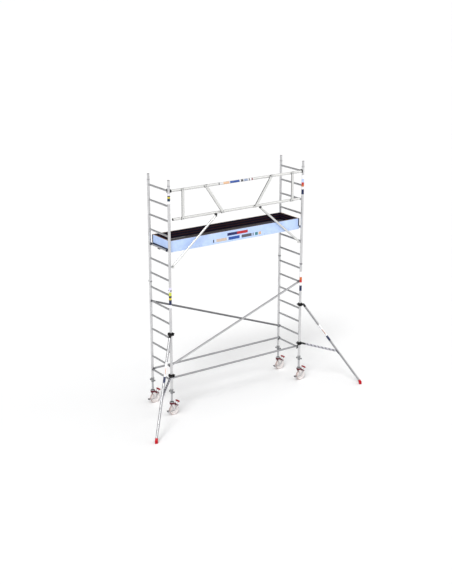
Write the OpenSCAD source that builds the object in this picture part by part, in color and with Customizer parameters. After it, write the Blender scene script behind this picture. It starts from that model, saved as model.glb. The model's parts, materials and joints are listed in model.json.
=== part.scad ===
// Mobile tower scaffold, millimetres, +Z up.
// Origin: on the ground, at the middle of the footprint with its stabilizers out.
// -Y is the front (guardrail and stabilizers), +X is the right-hand end frame.

/* [Tower] */
// Bay length, between the upright axes of the two end frames
bay = 3050; // [2500:10:3700]
// Frame width, between the front and back upright axes
frame_w = 700; // [620:10:1000]
// Height of the lowest rung above the ground
first_rung = 700; // [680:10:850]
// Spacing of the rungs
rung_pitch = 280; // [250:5:340]
// Outer diameter of an upright
upright_d = 50.8; // [48.3:0.1:56]
// Wall of an upright
upright_wall = 2; // [1.6:0.1:3]
// Outer diameter of a rung
rung_d = 35; // [30:0.5:40]
// Wall of a rung
rung_wall = 1.8; // [1.5:0.1:3]
// Length of upright below a frame's lowest rung
frame_tail = 180; // [150:5:200]

/* [Spigots] */
// Length of spigot that stands out of a frame
spigot_out = 100; // [80:5:120]
// Length of spigot held inside a frame
spigot_in = 110; // [80:5:140]
// Wall of a spigot
spigot_wall = 2; // [1.6:0.1:3]

/* [Braces] */
// Outer diameter of a horizontal or diagonal brace
brace_d = 38; // [32:1:42]
// Wall of a brace tube
brace_wall = 1.8; // [1.5:0.1:3]
// Width of a brace claw along its rung
claw_w = 34; // [24:1:40]
// Height of a horizontal brace's axis above the rung that it hooks over
brace_lift = 30; // [22:1:40]
// Lower rung of a diagonal brace, counted from the ground
diagonal_low = 2; // [2:1:4]
// Upper rung of a diagonal brace, counted from the ground
diagonal_high = 6; // [5:1:7]

/* [Platform] */
// Rung that the platform hooks over, counted from the ground
platform_rung = 10; // [8:1:11]
// Overall width of the platform
platform_w = 600; // [520:10:620]
// Height of the side beams
beam_h = 65; // [55:1:80]
// Width of the side and cross beams
beam_w = 40; // [30:1:50]
// Height of the cross beams
cross_h = 45; // [38:1:52]
// Wall of the platform's beams
beam_wall = 2.5; // [2:0.1:4]
// Thickness of the deck and trapdoor panels
deck_t = 12; // [9:0.5:18]
// Length of the trapdoor opening
hatch_len = 600; // [500:10:760]
// Width of the trapdoor opening
hatch_w = 470; // [380:10:500]
// Distance of the trapdoor opening from the platform's left end
hatch_x = 90; // [80:5:140]
// Height of the toe boards
toe_h = 150; // [120:5:180]
// Thickness of the toe boards
toe_t = 25; // [18:1:30]

/* [Guardrail] */
// Diameter of the top and knee rails
rail_d = 48; // [40:1:50]
// Wall of the rails
rail_wall = 2; // [1.6:0.1:3]
// Height of the knee rail above the platform's rung
knee_rise = 590; // [500:10:650]
// Distance of each post from its upright
post_inset = 280; // [200:10:400]
// Distance of a diagonal's top from the middle of the bay
slant_top = 740; // [600:10:840]
// Distance of a diagonal's foot from the middle of the bay
slant_foot = 375; // [250:10:480]
// Width of the posts and diagonals
post_w = 50; // [40:1:60]
// Thickness of the posts and diagonals
post_t = 20; // [15:1:24]
// Distance of a folding leg's pivot from its upright
leg_pivot_in = 1000; // [900:10:1100]
// Diameter of a folding leg
fold_leg_d = 40; // [32:1:41]

/* [Stabilizers] */
// Reach of the foot from its upright
stab_reach = 1260; // [1000:10:1500]
// Angle of a stabilizer, out from the bay's line towards the front
stab_angle = 45; // [30:1:60]
// Height of the upper coupler
coupler_high = 1630; // [1620:5:1700]
// Height of the lower coupler
coupler_low = 800; // [780:5:860]
// Diameter of the strut
strut_d = 45; // [38:1:50]
// Diameter of the lower arm
arm_d = 38; // [30:1:44]
// Where the arm meets the strut, as a share of the strut's length
arm_share = 0.6; // [0.5:0.01:0.7]
// Diameter of the rubber foot
foot_d = 56; // [50:1:70]

/* [Castors] */
// Diameter of a wheel
wheel_d = 200; // [150:5:200]
// Width of a wheel
wheel_w = 45; // [36:1:50]
// Distance of the axle from the swivel axis
trail = 40; // [30:1:50]
// Diameter of the threaded leg
leg_d = 38; // [32:0.5:40]
// Height of the adjusting nut
nut_h = 75; // [50:1:80]
// Diameter of the swivel head
head_d = 92; // [84:1:100]

/* [Hidden] */
// Clearances
weld_gap = 0.3; // between a rung and its upright
seat_gap = 0.3; // between pieces that rest on each other
run_gap = 0.05; // radial, for a pin or a shaft that turns
slip_gap = 0.1; // radial, for a tube inside another
cut = 1; // how far a cut runs past what it cuts

// Resolution
$fn = 48;

// Frames
upright_r = upright_d / 2;
upright_bore = upright_r - upright_wall;
rung_r = rung_d / 2;
rungs = 7;
frame_h = rungs * rung_pitch;
function rung_z(k) = first_rung + (k - 1) * rung_pitch;
function frame_z(i) = first_rung - frame_tail + i * frame_h;
top_rung = 2 * rungs;
spigot_r = upright_bore - slip_gap;
spigot_tip_r = spigot_r - 0.3;

// Spring clips where a lower frame meets an upper one
band_t = 4;
band_h = 24;
band_wrap = 250;
band_lug = [14, 8, 12];

// Nut wings
wing_reach = 55;
wing_tip_r = 8;
wing_angle = -70;
wing_t = 12;
wing_h = 16;
wing_tip_h = 32;

// Plan: the box around everything is centred on the origin
foot_r = foot_d / 2;
back_reach = max(head_d / 2, wing_reach * sin(-wing_angle) + wing_tip_r);
mid_y = (stab_reach * sin(stab_angle) + foot_r - back_reach) / 2;
front_y = mid_y - frame_w / 2;
back_y = mid_y + frame_w / 2;

// Corners: name, side (left -1, right 1), depth (front -1, back 1)
CORNERS = [
    ["front_left", -1, -1], ["front_right", 1, -1],
    ["back_left", -1, 1], ["back_right", 1, 1]
];

// Braces
brace_r = brace_d / 2;
brace_bore = brace_r - brace_wall;
claw_t = 6.5;
claw_seat = rung_r + seat_gap;
claw_r = claw_seat + claw_t;
claw_lane = upright_r + 2 + claw_w / 2;
claw_neck = 14;
tube_start = claw_r + claw_neck;
shank_in = 40;

// Platform
end_gap = 6.6;
platform_l = bay - 2 * (upright_r + end_gap);
platform_x = -platform_l / 2;
beam_top = rung_z(platform_rung) + 30;
beam_z = beam_top - beam_h;
cross_z = beam_top - cross_h;
deck_z = beam_top + seat_gap;
deck_top = deck_z + deck_t;
toe_z = beam_top + seat_gap;
hatch_y = mid_y - hatch_w / 2;
hatch_bear = 15;
hatch_gap = 1.5;
hook_w = 40;
hook_t = 8;
hook_in = 4;
hook_lip = 12;
mid_beams = 2;
mid_beam_from = hatch_x + hatch_len - hatch_bear;
mid_beam_step = (platform_l - beam_w - mid_beam_from) / (mid_beams + 1);
CROSS_X = [
    0, hatch_x + hatch_bear - beam_w, mid_beam_from,
    for (i = [1:mid_beams]) mid_beam_from + i * mid_beam_step,
    platform_l - beam_w
];

// Trapdoor hinge
knuckle_r = 6;
hinge_pin_r = 3;
hinge_rise = 7;
hinge_leaf_w = 26;
hinge_leaf_t = 2.5;
hinge_leaf_gap = knuckle_r + 1.5;
hinge_rebate = 1;
hinge_inset = 30;
knuckles = 5;
knuckle_gap = 1;
hinge_l = hatch_len - 2 * hinge_inset;
hinge_y = hatch_y + hatch_w;
hinge_x = platform_x + hatch_x + hinge_inset;

// Trapdoor handle
handle_w = 80;
handle_reach = 42;
handle_r = 5;
handle_pin_r = 4;
handle_pin_l = 14;
handle_rise = 8;
handle_x = platform_x + hatch_x + 170;
handle_y = hatch_y + 80;
lug_w = 8;
lug_l = 16;
lug_over = 6;

// Wind locks
lock_w = 70;
lock_t = 8;
lock_nose = 22;
lock_tail = 96;
lock_grip_t = 10;
lock_grip_h = 16;
lock_z = rung_z(platform_rung) - rung_r - 0.6 - lock_t;
guide_t = 3;
guide_w = 14;

// Toe board corner clips
clip_t = 3;
clip_w = 22;

// Guardrail
rail_r = rail_d / 2;
rail_bore = rail_r - rail_wall;
top_z = rung_z(top_rung);
knee_z = rung_z(platform_rung) + knee_rise;
knee_short = 80;
rail_start = 50;
end_claw_r = 37;
end_claw_from = -42;
end_claw_to = 168;
end_claw_below = 25;
end_claw_above = 34;
claw_bite = 4;
rail_plug = 40;
fold_r = fold_leg_d / 2;
fold_wall = 1.6;
fold_lane = fold_r + 4;
fold_z = knee_z - rail_r - fold_r - 9;
fold_pin_r = 5;
fold_ear_t = 3;
fold_clear = 2;
fold_head = 2 * fold_leg_d + 8;
fold_rung = platform_rung - 1;
fold_end = [62, rung_z(fold_rung) + 12];
bracket_l = 40;
bracket_t = 4;
bracket_wrap = 12;
bracket_ear_w = 24;

// Hook at the foot of a folding leg: a bar under the rung, and a block that carries the leg
fold_hook_t = 14;
fold_hook_w = 16;
fold_hook_y = 44;
fold_hook_out = 8;
fold_block_x = 44;
fold_block_l = 26;
fold_block_w = fold_leg_d - fold_wall;
fold_block_h = 34;

// Stabilizers
strut_r = strut_d / 2;
strut_wall = 2;
arm_r = arm_d / 2;
arm_wall = 1.8;
coupler_r = 40;
coupler_h = 60;
clasp_out = 10;
clasp_w = 24;
clasp_inset = 8;
ear_t = 6;
ear_tip = 13;
ear_bolt_r = 6;
ear_bolt_head = 5;
ear_play = 0.5;
pivot_u = coupler_r + strut_r + 8;
tube_past = 14;
foot_z = 45;
foot_cup = 45;
cradle_l = 100;
cradle_t = 5;
strut_top = [pivot_u, coupler_high];
strut_end = [stab_reach, foot_z];
strut_len = norm(strut_end - strut_top);
strut_tilt = acos((strut_top[1] - strut_end[1]) / strut_len);
arm_joint = strut_top + arm_share * (strut_end - strut_top);
arm_start = [pivot_u, coupler_low];
arm_len = norm(arm_joint - arm_start);
arm_slope = atan2(arm_joint[1] - arm_start[1], arm_joint[0] - arm_start[0]);

// Castors
wheel_r = wheel_d / 2;
leg_r = leg_d / 2;
head_r = head_d / 2;
head_h = 30;
head_z = wheel_d + 28;
head_top = head_z + head_h;
base_t = 16;
base_z = head_top + seat_gap;
base_r = 38;
nut_z = frame_z(0) - seat_gap - nut_h;
nut_wall = 8;
nut_collar_h = 14;
nut_wing_z = 14;
kingpin_r = 10;
kingpin_washer_r = 16;
kingpin_washer_t = 8;
leg_top = frame_z(0) + 470;
guide_h = 60;
axle_r = 6;
axle_head_r = 10;
axle_head_t = 4;
axle_past = 1;
fork_in = wheel_w / 2 + 4;
fork_t = 5;
fork_boss_r = 17;
fork_root = 32;
fork_step = 30;
rocker_in = fork_in + fork_t + 0.5;
rocker_t = 3;
rocker_w = 15;
rocker_boss_r = 12;
pedal = [86, 163];
pedal_size = [52, 16];
pedal_tilt = 25;
tail = [-130, -15];
tail_r = 9;
bar_past = 1.5;

// Wheel section, in steps from the hub to the tread
hub_r = 20;
hub_past = 3;
web_in = 8;
web_out = 10;
web_r0 = 24;
web_r1 = 68;
rim_r = 74;
tread_in = 5;
tread_side = 6;

// ---------- helpers ----------

// A round tube along +Z
module tube(r, bore, h) {
    difference() {
        cylinder(r = r, h = h);
        translate([0, 0, -cut]) cylinder(r = bore, h = h + 2 * cut);
    }
}

// Turns what is built along +Z to run from a to b
module along(a, b) {
    d = b - a;
    translate(a) rotate([0, acos(d[2] / norm(d)), atan2(d[1], d[0])]) children();
}

module tube_between(a, b, r, bore) {
    along(a, b) tube(r, bore, norm(b - a));
}

// A rectangular tube along +X
module box_tube(l, w, h, wall) {
    difference() {
        cube([l, w, h]);
        translate([-cut, wall, wall]) cube([l + 2 * cut, w - 2 * wall, h - 2 * wall]);
    }
}

module at_corner(c) {
    translate([c[1] * bay / 2, mid_y + c[2] * frame_w / 2, 0]) children();
}

// Both ends of the tower: children are built for the left end, with +X towards the bay
module at_end(s) {
    translate([s * bay / 2, 0, 0]) mirror([s > 0 ? 1 : 0, 0, 0]) children();
}

// ---------- end frames ----------

module rung(z) {
    difference() {
        translate([0, front_y, z]) rotate([-90, 0, 0]) tube(rung_r, rung_r - rung_wall, frame_w);
        for (y = [front_y, back_y])
            translate([0, y, z - rung_d]) cylinder(r = upright_r + weld_gap, h = 2 * rung_d);
    }
}

module end_frame(s, level) {
    color("gainsboro") at_end(s) {
        for (y = [front_y, back_y])
            translate([0, y, frame_z(level)]) tube(upright_r, upright_bore, frame_h - seat_gap);
        for (k = [1:rungs]) rung(rung_z(k + level * rungs));
    }
}

module spigot() {
    difference() {
        union() {
            translate([0, 0, -spigot_in]) cylinder(r = spigot_r, h = spigot_in);
            cylinder(r = spigot_tip_r, h = spigot_out);
        }
        translate([0, 0, -spigot_in - cut])
            cylinder(r = spigot_tip_r - spigot_wall, h = spigot_in + spigot_out + 2 * cut);
    }
}

module frame_spigots() {
    color("silver") for (c = CORNERS, level = [1, 2])
        at_corner(c) translate([0, 0, frame_z(level) - seat_gap]) spigot();
}

module frame_locking_clips() {
    color("dimgray") for (c = CORNERS)
        at_corner(c) translate([0, 0, frame_z(1) - band_h / 2])
            mirror([c[1] < 0 ? 1 : 0, 0, 0]) rotate([0, 0, (360 - band_wrap) / 2]) {
                rotate_extrude(angle = band_wrap)
                    translate([upright_r + seat_gap, 0]) square([band_t, band_h]);
                translate([upright_r + band_t / 2, 0, (band_h - band_lug[2]) / 2]) cube(band_lug);
            }
}

// ---------- braces ----------

// A claw over a rung, with a shank that runs into the brace; built at the rung, shank along +X
module brace_claw(slope, lift) {
    difference() {
        union() {
            translate([0, claw_w / 2, 0]) rotate([90, 0, 0]) cylinder(r = claw_r, h = claw_w);
            rotate([0, -slope, 0]) translate([0, 0, lift]) rotate([0, 90, 0])
                cylinder(r = brace_bore - slip_gap, h = tube_start + shank_in);
        }
        translate([0, claw_w, 0]) rotate([90, 0, 0]) cylinder(r = claw_seat, h = 2 * claw_w);
        translate([-claw_seat, -claw_w, -2 * claw_r]) cube([2 * claw_seat, 2 * claw_w, 2 * claw_r]);
    }
}

diagonal_slope = atan2(rung_z(diagonal_high) - rung_z(diagonal_low), bay);

module horizontal_brace(y) {
    x = bay / 2 - tube_start;
    z = rung_z(1) + brace_lift;
    color("lightgray") tube_between([-x, y, z], [x, y, z], brace_r, brace_bore);
}

// Rises to the right when s is 1, and to the left when s is -1
module diagonal_brace(y, s) {
    mid_z = (rung_z(diagonal_high) + rung_z(diagonal_low)) / 2;
    half = bay / 2 / cos(diagonal_slope) - tube_start;
    run = half * cos(diagonal_slope);
    rise = half * sin(diagonal_slope);
    color("lightgray")
        tube_between([-s * run, y, mid_z - rise], [s * run, y, mid_z + rise], brace_r, brace_bore);
}

module brace_claws() {
    color("slategray") for (s = [-1, 1]) {
        for (y = [front_y + claw_lane, back_y - claw_lane])
            at_end(s) translate([0, y, rung_z(1)]) brace_claw(0, brace_lift);
        at_end(s) translate([0, front_y + claw_lane, rung_z(s < 0 ? diagonal_low : diagonal_high)])
            brace_claw(-s * diagonal_slope, 0);
        at_end(s) translate([0, back_y - claw_lane, rung_z(s > 0 ? diagonal_low : diagonal_high)])
            brace_claw(s * diagonal_slope, 0);
    }
}

// ---------- platform ----------

module platform_side_beams() {
    color("lightsteelblue") for (y = [-platform_w / 2, platform_w / 2 - beam_w])
        translate([platform_x, mid_y + y, beam_z]) box_tube(platform_l, beam_w, beam_h, beam_wall);
}

module platform_cross_beams() {
    l = platform_w - 2 * beam_w - 2 * seat_gap;
    color("midnightblue") for (x = CROSS_X)
        translate([platform_x + x + beam_w, mid_y - l / 2, cross_z])
            rotate([0, 0, 90]) box_tube(l, beam_w, cross_h, beam_wall);
}

module platform_deck() {
    edge = toe_t + seat_gap;
    color("#1a1618") difference() {
        translate([platform_x + edge, mid_y - platform_w / 2 + edge, deck_z])
            cube([platform_l - 2 * edge, platform_w - 2 * edge, deck_t]);
        translate([platform_x + hatch_x, hatch_y, deck_z - cut])
            cube([hatch_len, hatch_w, deck_t + 2 * cut]);
        translate([hinge_x - hinge_rebate, hinge_y - cut, deck_top - seat_gap])
            cube([hinge_l + 2 * hinge_rebate, hinge_leaf_w + hinge_rebate + cut, seat_gap + cut]);
    }
}

// A hook over the platform's rung; built at the rung, with +X towards the bay
module platform_hook() {
    x1 = upright_r + end_gap - seat_gap;
    seat_r = rung_r + seat_gap;
    difference() {
        union() {
            rotate([90, 0, 0]) cylinder(r = seat_r + hook_t, h = hook_w, center = true);
            translate([0, -hook_w / 2, -hook_t]) cube([x1, hook_w, seat_r + 2 * hook_t - hook_in]);
        }
        rotate([90, 0, 0]) cylinder(r = seat_r, h = 2 * hook_w, center = true);
        translate([-seat_r, -hook_w, -2 * seat_r]) cube([2 * seat_r, 2 * hook_w, 2 * seat_r]);
        translate([-seat_r - hook_t - cut, -hook_w, -seat_r - hook_t - cut])
            cube([2 * (seat_r + hook_t + cut), 2 * hook_w, seat_r + hook_t + cut - hook_lip]);
    }
}

// A strap under an end beam that carries the wind lock
module lock_guide() {
    top = cross_z - seat_gap;
    inner = lock_w / 2 + seat_gap;
    difference() {
        translate([0, -inner - guide_t, lock_z - seat_gap - guide_t])
            cube([guide_w, 2 * (inner + guide_t), top - lock_z + seat_gap + guide_t]);
        translate([-cut, -inner, lock_z - seat_gap])
            cube([guide_w + 2 * cut, 2 * inner, top - lock_z + 2 * seat_gap + cut]);
    }
}

module platform_hooks() {
    side = platform_w / 2 - hook_w / 2 - 2;
    color("#141a28") for (s = [-1, 1]) at_end(s) {
        for (y = [-side, side]) translate([0, mid_y + y, rung_z(platform_rung)]) platform_hook();
        translate([upright_r + end_gap + (beam_w - guide_w) / 2, mid_y, 0]) lock_guide();
    }
}

module wind_lock(s) {
    color("#20222a") at_end(s) translate([0, mid_y, lock_z]) {
        translate([-lock_nose, -lock_w / 2, 0]) cube([lock_nose + lock_tail, lock_w, lock_t]);
        translate([lock_tail - lock_grip_t, -lock_w / 2, -lock_grip_h])
            cube([lock_grip_t, lock_w, lock_grip_h]);
    }
}

module trapdoor_leaf(side, first) {
    step = hinge_l / knuckles;
    translate([hinge_x, hinge_y + (side < 0 ? -hinge_leaf_w : hinge_leaf_gap), deck_top])
        cube([hinge_l, hinge_leaf_w - hinge_leaf_gap, hinge_leaf_t]);
    for (i = [first:2:knuckles - 1])
        translate([hinge_x + i * step + knuckle_gap / 2, hinge_y, deck_top]) {
            translate([0, side < 0 ? -hinge_leaf_gap - cut : 0, 0])
                cube([step - knuckle_gap, hinge_leaf_gap + cut, hinge_leaf_t]);
            translate([0, 0, hinge_rise]) rotate([0, 90, 0])
                cylinder(r = knuckle_r, h = step - knuckle_gap);
        }
}

module hinge_hole(r) {
    translate([hinge_x - cut, hinge_y, deck_top + hinge_rise]) rotate([0, 90, 0])
        cylinder(r = r, h = hinge_l + 2 * cut);
}

module trapdoor_hinge() {
    color("silver") {
        trapdoor_leaf(1, 0);
        hinge_hole(hinge_pin_r);
    }
}

module handle_lug(x) {
    translate([handle_x + x, handle_y, deck_top]) difference() {
        translate([-lug_w / 2, -lug_l / 2, -cut])
            cube([lug_w, lug_l, handle_rise + lug_over + cut]);
        translate([-lug_w, 0, handle_rise]) rotate([0, 90, 0])
            cylinder(r = handle_pin_r + run_gap, h = 2 * lug_w);
    }
}

module trapdoor() {
    color("#241f22") {
        difference() {
            union() {
                translate([platform_x + hatch_x + hatch_gap, hatch_y + hatch_gap, deck_z])
                    cube([hatch_len - 2 * hatch_gap, hatch_w - 2 * hatch_gap, deck_t]);
                trapdoor_leaf(-1, 1);
            }
            hinge_hole(hinge_pin_r + run_gap);
        }
        for (x = [-1, 1]) handle_lug(x * (handle_w / 2 - 10));
    }
}

module trapdoor_handle() {
    half = handle_w / 2;
    color("silver") translate([handle_x, handle_y, deck_top + handle_rise]) {
        for (s = [-1, 1]) {
            translate([s * half, 0, 0]) sphere(r = handle_r);
            translate([s * half, 0, 0]) rotate([90, 0, 0]) cylinder(r = handle_r, h = handle_reach);
            translate([s * half, -handle_reach, 0]) sphere(r = handle_r);
            translate([s * half, 0, 0]) rotate([0, -s * 90, 0]) cylinder(r = handle_pin_r, h = handle_pin_l);
        }
        translate([-half, -handle_reach, 0]) rotate([0, 90, 0]) cylinder(r = handle_r, h = handle_w);
    }
}

// ---------- toe boards ----------

module toe_board_long(y) {
    color("lightblue") translate([platform_x, mid_y + y, toe_z]) cube([platform_l, toe_t, toe_h]);
}

module toe_board_end(s) {
    w = platform_w - 2 * toe_t - 2 * seat_gap;
    color("lightblue") at_end(s)
        translate([upright_r + end_gap, mid_y - w / 2, toe_z]) cube([toe_t, w, toe_h]);
}

module toe_board_corner_clips() {
    color("#1b2340") for (s = [-1, 1], d = [-1, 1])
        translate([0, mid_y, 0]) mirror([0, d > 0 ? 1 : 0, 0]) at_end(s)
            translate([upright_r + end_gap, -platform_w / 2, toe_z]) {
                translate([-clip_t - seat_gap, -clip_t - seat_gap, 0])
                    cube([clip_w + clip_t, clip_t, toe_h]);
                translate([-clip_t - seat_gap, -clip_t - seat_gap, 0])
                    cube([clip_t, clip_w + clip_t, toe_h]);
            }
}

// ---------- guardrail ----------

module guardrail_top_rail() {
    x = bay / 2 - rail_start;
    color("whitesmoke")
        tube_between([-x, front_y, top_z], [x, front_y, top_z], rail_r, rail_bore);
}

module guardrail_knee_rail() {
    x = bay / 2 - knee_short;
    color("whitesmoke")
        tube_between([-x, front_y, knee_z], [x, front_y, knee_z], rail_r, rail_bore);
}

// A flat bar on the front of the two rails, from p to q in the XZ plane
module rail_bar(p, q) {
    d = q - p;
    translate([0, front_y - rail_r - seat_gap, 0]) rotate([90, 0, 0])
        linear_extrude(post_t) intersection() {
            translate(p) rotate(atan2(d[1], d[0]))
                translate([-post_w, -post_w / 2]) square([norm(d) + 2 * post_w, post_w]);
            translate([-bay / 2, knee_z - rail_r]) square([bay, top_z - knee_z + rail_d]);
        }
}

module guardrail_posts() {
    color("whitesmoke") for (s = [-1, 1]) {
        post_x = s * (bay / 2 - post_inset);
        rail_bar([post_x, knee_z], [post_x, top_z]);
        rail_bar([s * slant_foot, knee_z], [s * slant_top, top_z]);
    }
}

// Each claw goes round the back of its upright and over its rung
module guardrail_end_claws() {
    slot = rung_r + seat_gap;
    inner = upright_r + seat_gap;
    color("#101010") for (s = [-1, 1]) at_end(s) translate([0, front_y, top_z]) {
        difference() {
            translate([0, 0, -end_claw_below]) rotate([0, 0, end_claw_from])
                rotate_extrude(angle = end_claw_to - end_claw_from)
                    translate([inner, 0]) square([end_claw_r - inner, end_claw_below + end_claw_above]);
            translate([-slot, 0, slot - 2 * end_claw_r])
                cube([2 * slot, 2 * end_claw_r, 2 * end_claw_r]);
        }
        translate([end_claw_r - claw_bite, 0, 0]) rotate([0, 90, 0])
            cylinder(r = rail_bore - slip_gap, h = rail_start + rail_plug - end_claw_r + claw_bite);
    }
}

// Folding leg from the knee rail down to the rung below the platform; side -1 left, 1 right
module guardrail_leg(s) {
    lane = s * fold_lane;
    p = [leg_pivot_in, front_y + lane, fold_z];
    e = [fold_end[0], front_y + lane, fold_end[1]];
    hook_z = rung_z(fold_rung) - rung_r - seat_gap - fold_hook_t;
    block_y = lane - fold_block_w / 2;
    bar_y = fold_hook_y - fold_hook_w;
    tie_y = min(block_y, bar_y);
    color("whitesmoke") at_end(s) {
        difference() {
            union() {
                difference() {
                    tube_between(e, p, fold_r, fold_r - fold_wall);
                    translate(p) cube(2 * (fold_leg_d + cut), center = true);
                }
                along(p, e) translate([0, 0, fold_clear + 3 - fold_r])
                    cylinder(r = fold_r - fold_clear / 4, h = fold_head);
            }
            translate([p[0], p[1] - fold_leg_d, p[2]]) rotate([-90, 0, 0])
                cylinder(r = fold_pin_r + run_gap, h = 2 * fold_leg_d);
        }
        translate([fold_block_x, front_y + tie_y, hook_z])
            cube([fold_block_l, fold_hook_y - tie_y, fold_hook_t]);
        translate([-fold_hook_out, front_y + bar_y, hook_z])
            cube([fold_block_x + fold_block_l + fold_hook_out, fold_hook_w, fold_hook_t]);
        translate([fold_block_x, front_y + block_y, hook_z + fold_hook_t / 2])
            cube([fold_block_l, fold_block_w, fold_block_h]);
    }
}

// Two ears with a pin, hung from the knee rail
module leg_bracket(s) {
    reach = fold_r + seat_gap;
    seat = rail_r + seat_gap;
    side = reach + fold_lane + fold_ear_t;
    at_end(s) translate([leg_pivot_in, front_y, 0]) {
        difference() {
            translate([-bracket_l / 2, -side, knee_z - seat - bracket_t])
                cube([bracket_l, 2 * side, bracket_t + bracket_wrap]);
            translate([-bracket_l, 0, knee_z]) rotate([0, 90, 0])
                cylinder(r = seat, h = 2 * bracket_l);
            translate([-bracket_l, s < 0 ? fold_ear_t : -2 * side - fold_ear_t, knee_z - 2 * seat])
                cube([2 * bracket_l, 2 * side, 4 * seat]);
        }
        for (d = [-1, 1])
            translate([-bracket_ear_w / 2, s * fold_lane + d * (reach + fold_ear_t / 2) - fold_ear_t / 2,
                fold_z - bracket_ear_w / 2])
                cube([bracket_ear_w, fold_ear_t, knee_z - seat - bracket_t / 2 - fold_z + bracket_ear_w / 2]);
        translate([0, s * fold_lane - reach - fold_ear_t - bracket_t, fold_z]) rotate([-90, 0, 0])
            cylinder(r = fold_pin_r, h = 2 * (reach + fold_ear_t + bracket_t));
    }
}

module guardrail_leg_brackets() {
    color("#303236") for (s = [-1, 1]) leg_bracket(s);
}

// ---------- stabilizers ----------

// Children are built in the upright's frame with +X along the stabilizer
module stabilizer(s) {
    translate([s * bay / 2, front_y, 0]) rotate([0, 0, s < 0 ? 180 + stab_angle : -stab_angle])
        children();
}

// A clamp round the upright with two ears and a bolt for a tube of radius r
module coupler(z, r) {
    gap = r + ear_play;
    translate([0, 0, z]) {
        difference() {
            union() {
                translate([0, 0, -coupler_h / 2]) cylinder(r = coupler_r, h = coupler_h);
                for (d = [-1, 1]) translate([0, d * (gap + ear_t / 2) - ear_t / 2, -ear_tip])
                    cube([pivot_u, ear_t, 2 * ear_tip]);
                for (d = [-1, 1]) translate([pivot_u, d * (gap + ear_t / 2) + ear_t / 2, 0])
                    rotate([90, 0, 0]) cylinder(r = ear_tip, h = ear_t);
                translate([-coupler_r - clasp_out, -clasp_w / 2, clasp_inset - coupler_h / 2])
                    cube([coupler_r, clasp_w, coupler_h - 2 * clasp_inset]);
            }
            translate([0, 0, -coupler_h]) cylinder(r = upright_r + run_gap, h = 2 * coupler_h);
        }
        translate([pivot_u, gap + ear_t + ear_bolt_head, 0]) rotate([90, 0, 0])
            cylinder(r = ear_bolt_r, h = 2 * (gap + ear_t + ear_bolt_head));
    }
}

module stabilizer_couplers(s) {
    color("#0c0c0e") stabilizer(s) {
        coupler(coupler_high, strut_r);
        coupler(coupler_low, arm_r);
    }
}

// A tube hung on a coupler's bolt; built along +X from the bolt
module pivoted_tube(r, wall, l) {
    difference() {
        translate([-tube_past, 0, 0]) rotate([0, 90, 0]) tube(r, r - wall, l + tube_past);
        translate([0, r + cut, 0]) rotate([90, 0, 0])
            cylinder(r = ear_bolt_r + run_gap, h = 2 * (r + cut));
    }
}

module at_strut() {
    translate([strut_top[0], 0, strut_top[1]]) rotate([0, 90 - strut_tilt, 0]) children();
}

module stabilizer_strut(s) {
    color("whitesmoke") stabilizer(s) at_strut() pivoted_tube(strut_r, strut_wall, strut_len);
}

// The lower arm, with a cradle under the strut
module stabilizer_arm(s) {
    seat = strut_r + seat_gap;
    mid = arm_share * strut_len;
    color("silver") stabilizer(s) difference() {
        union() {
            translate([arm_start[0], 0, arm_start[1]]) rotate([0, -arm_slope, 0])
                pivoted_tube(arm_r, arm_wall, arm_len);
            at_strut() translate([mid - cradle_l / 2, 0, 0]) rotate([0, 90, 0])
                cylinder(r = seat + cradle_t, h = cradle_l);
        }
        at_strut() translate([mid - cradle_l, 0, 0]) rotate([0, 90, 0])
            cylinder(r = seat, h = 2 * cradle_l);
        at_strut() translate([mid - cradle_l, -2 * seat, 0])
            cube([2 * cradle_l, 4 * seat, 3 * seat]);
    }
}

module stabilizer_foot(s) {
    color("crimson") stabilizer(s) difference() {
        union() {
            translate([stab_reach, 0, 0]) cylinder(r = foot_r, h = foot_z);
            translate([stab_reach, 0, foot_z]) sphere(r = foot_r);
            at_strut() translate([strut_len - foot_cup, 0, 0]) rotate([0, 90, 0])
                cylinder(r = foot_r - 1, h = foot_cup);
        }
        at_strut() translate([strut_len - 2 * foot_cup, 0, 0]) rotate([0, 90, 0])
            cylinder(r = strut_r + slip_gap, h = 2 * foot_cup + slip_gap);
    }
}

// ---------- castors ----------

module castor_leg(c) {
    color("silver") at_corner(c) {
        translate([0, 0, base_z]) cylinder(r = base_r, h = base_t);
        translate([0, 0, base_z + base_t]) cylinder(r = leg_r, h = leg_top - base_z - base_t);
        translate([0, 0, leg_top - guide_h]) cylinder(r = upright_bore - slip_gap, h = guide_h);
        translate([0, 0, head_z - seat_gap - kingpin_washer_t])
            cylinder(r = kingpin_r, h = base_z - head_z + seat_gap + kingpin_washer_t + cut);
        translate([0, 0, head_z - seat_gap - kingpin_washer_t])
            cylinder(r = kingpin_washer_r, h = kingpin_washer_t);
    }
}

module adjusting_nut(c) {
    color("darkgray") at_corner(c) translate([0, 0, nut_z]) difference() {
        union() {
            cylinder(r = leg_r + nut_wall, h = nut_h);
            translate([0, 0, nut_h - nut_collar_h])
                cylinder(r = upright_r + nut_wall, h = nut_collar_h);
            for (side = [0, 180]) rotate([0, 0, wing_angle + side]) {
                translate([leg_r + nut_wall / 2, -wing_t / 2, nut_wing_z + (wing_tip_h - wing_h) / 2])
                    cube([wing_reach - leg_r - nut_wall / 2, wing_t, wing_h]);
                translate([wing_reach, 0, nut_wing_z]) cylinder(r = wing_tip_r, h = wing_tip_h);
            }
        }
        translate([0, 0, -cut]) cylinder(r = leg_r + run_gap, h = nut_h + 2 * cut);
    }
}

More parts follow.
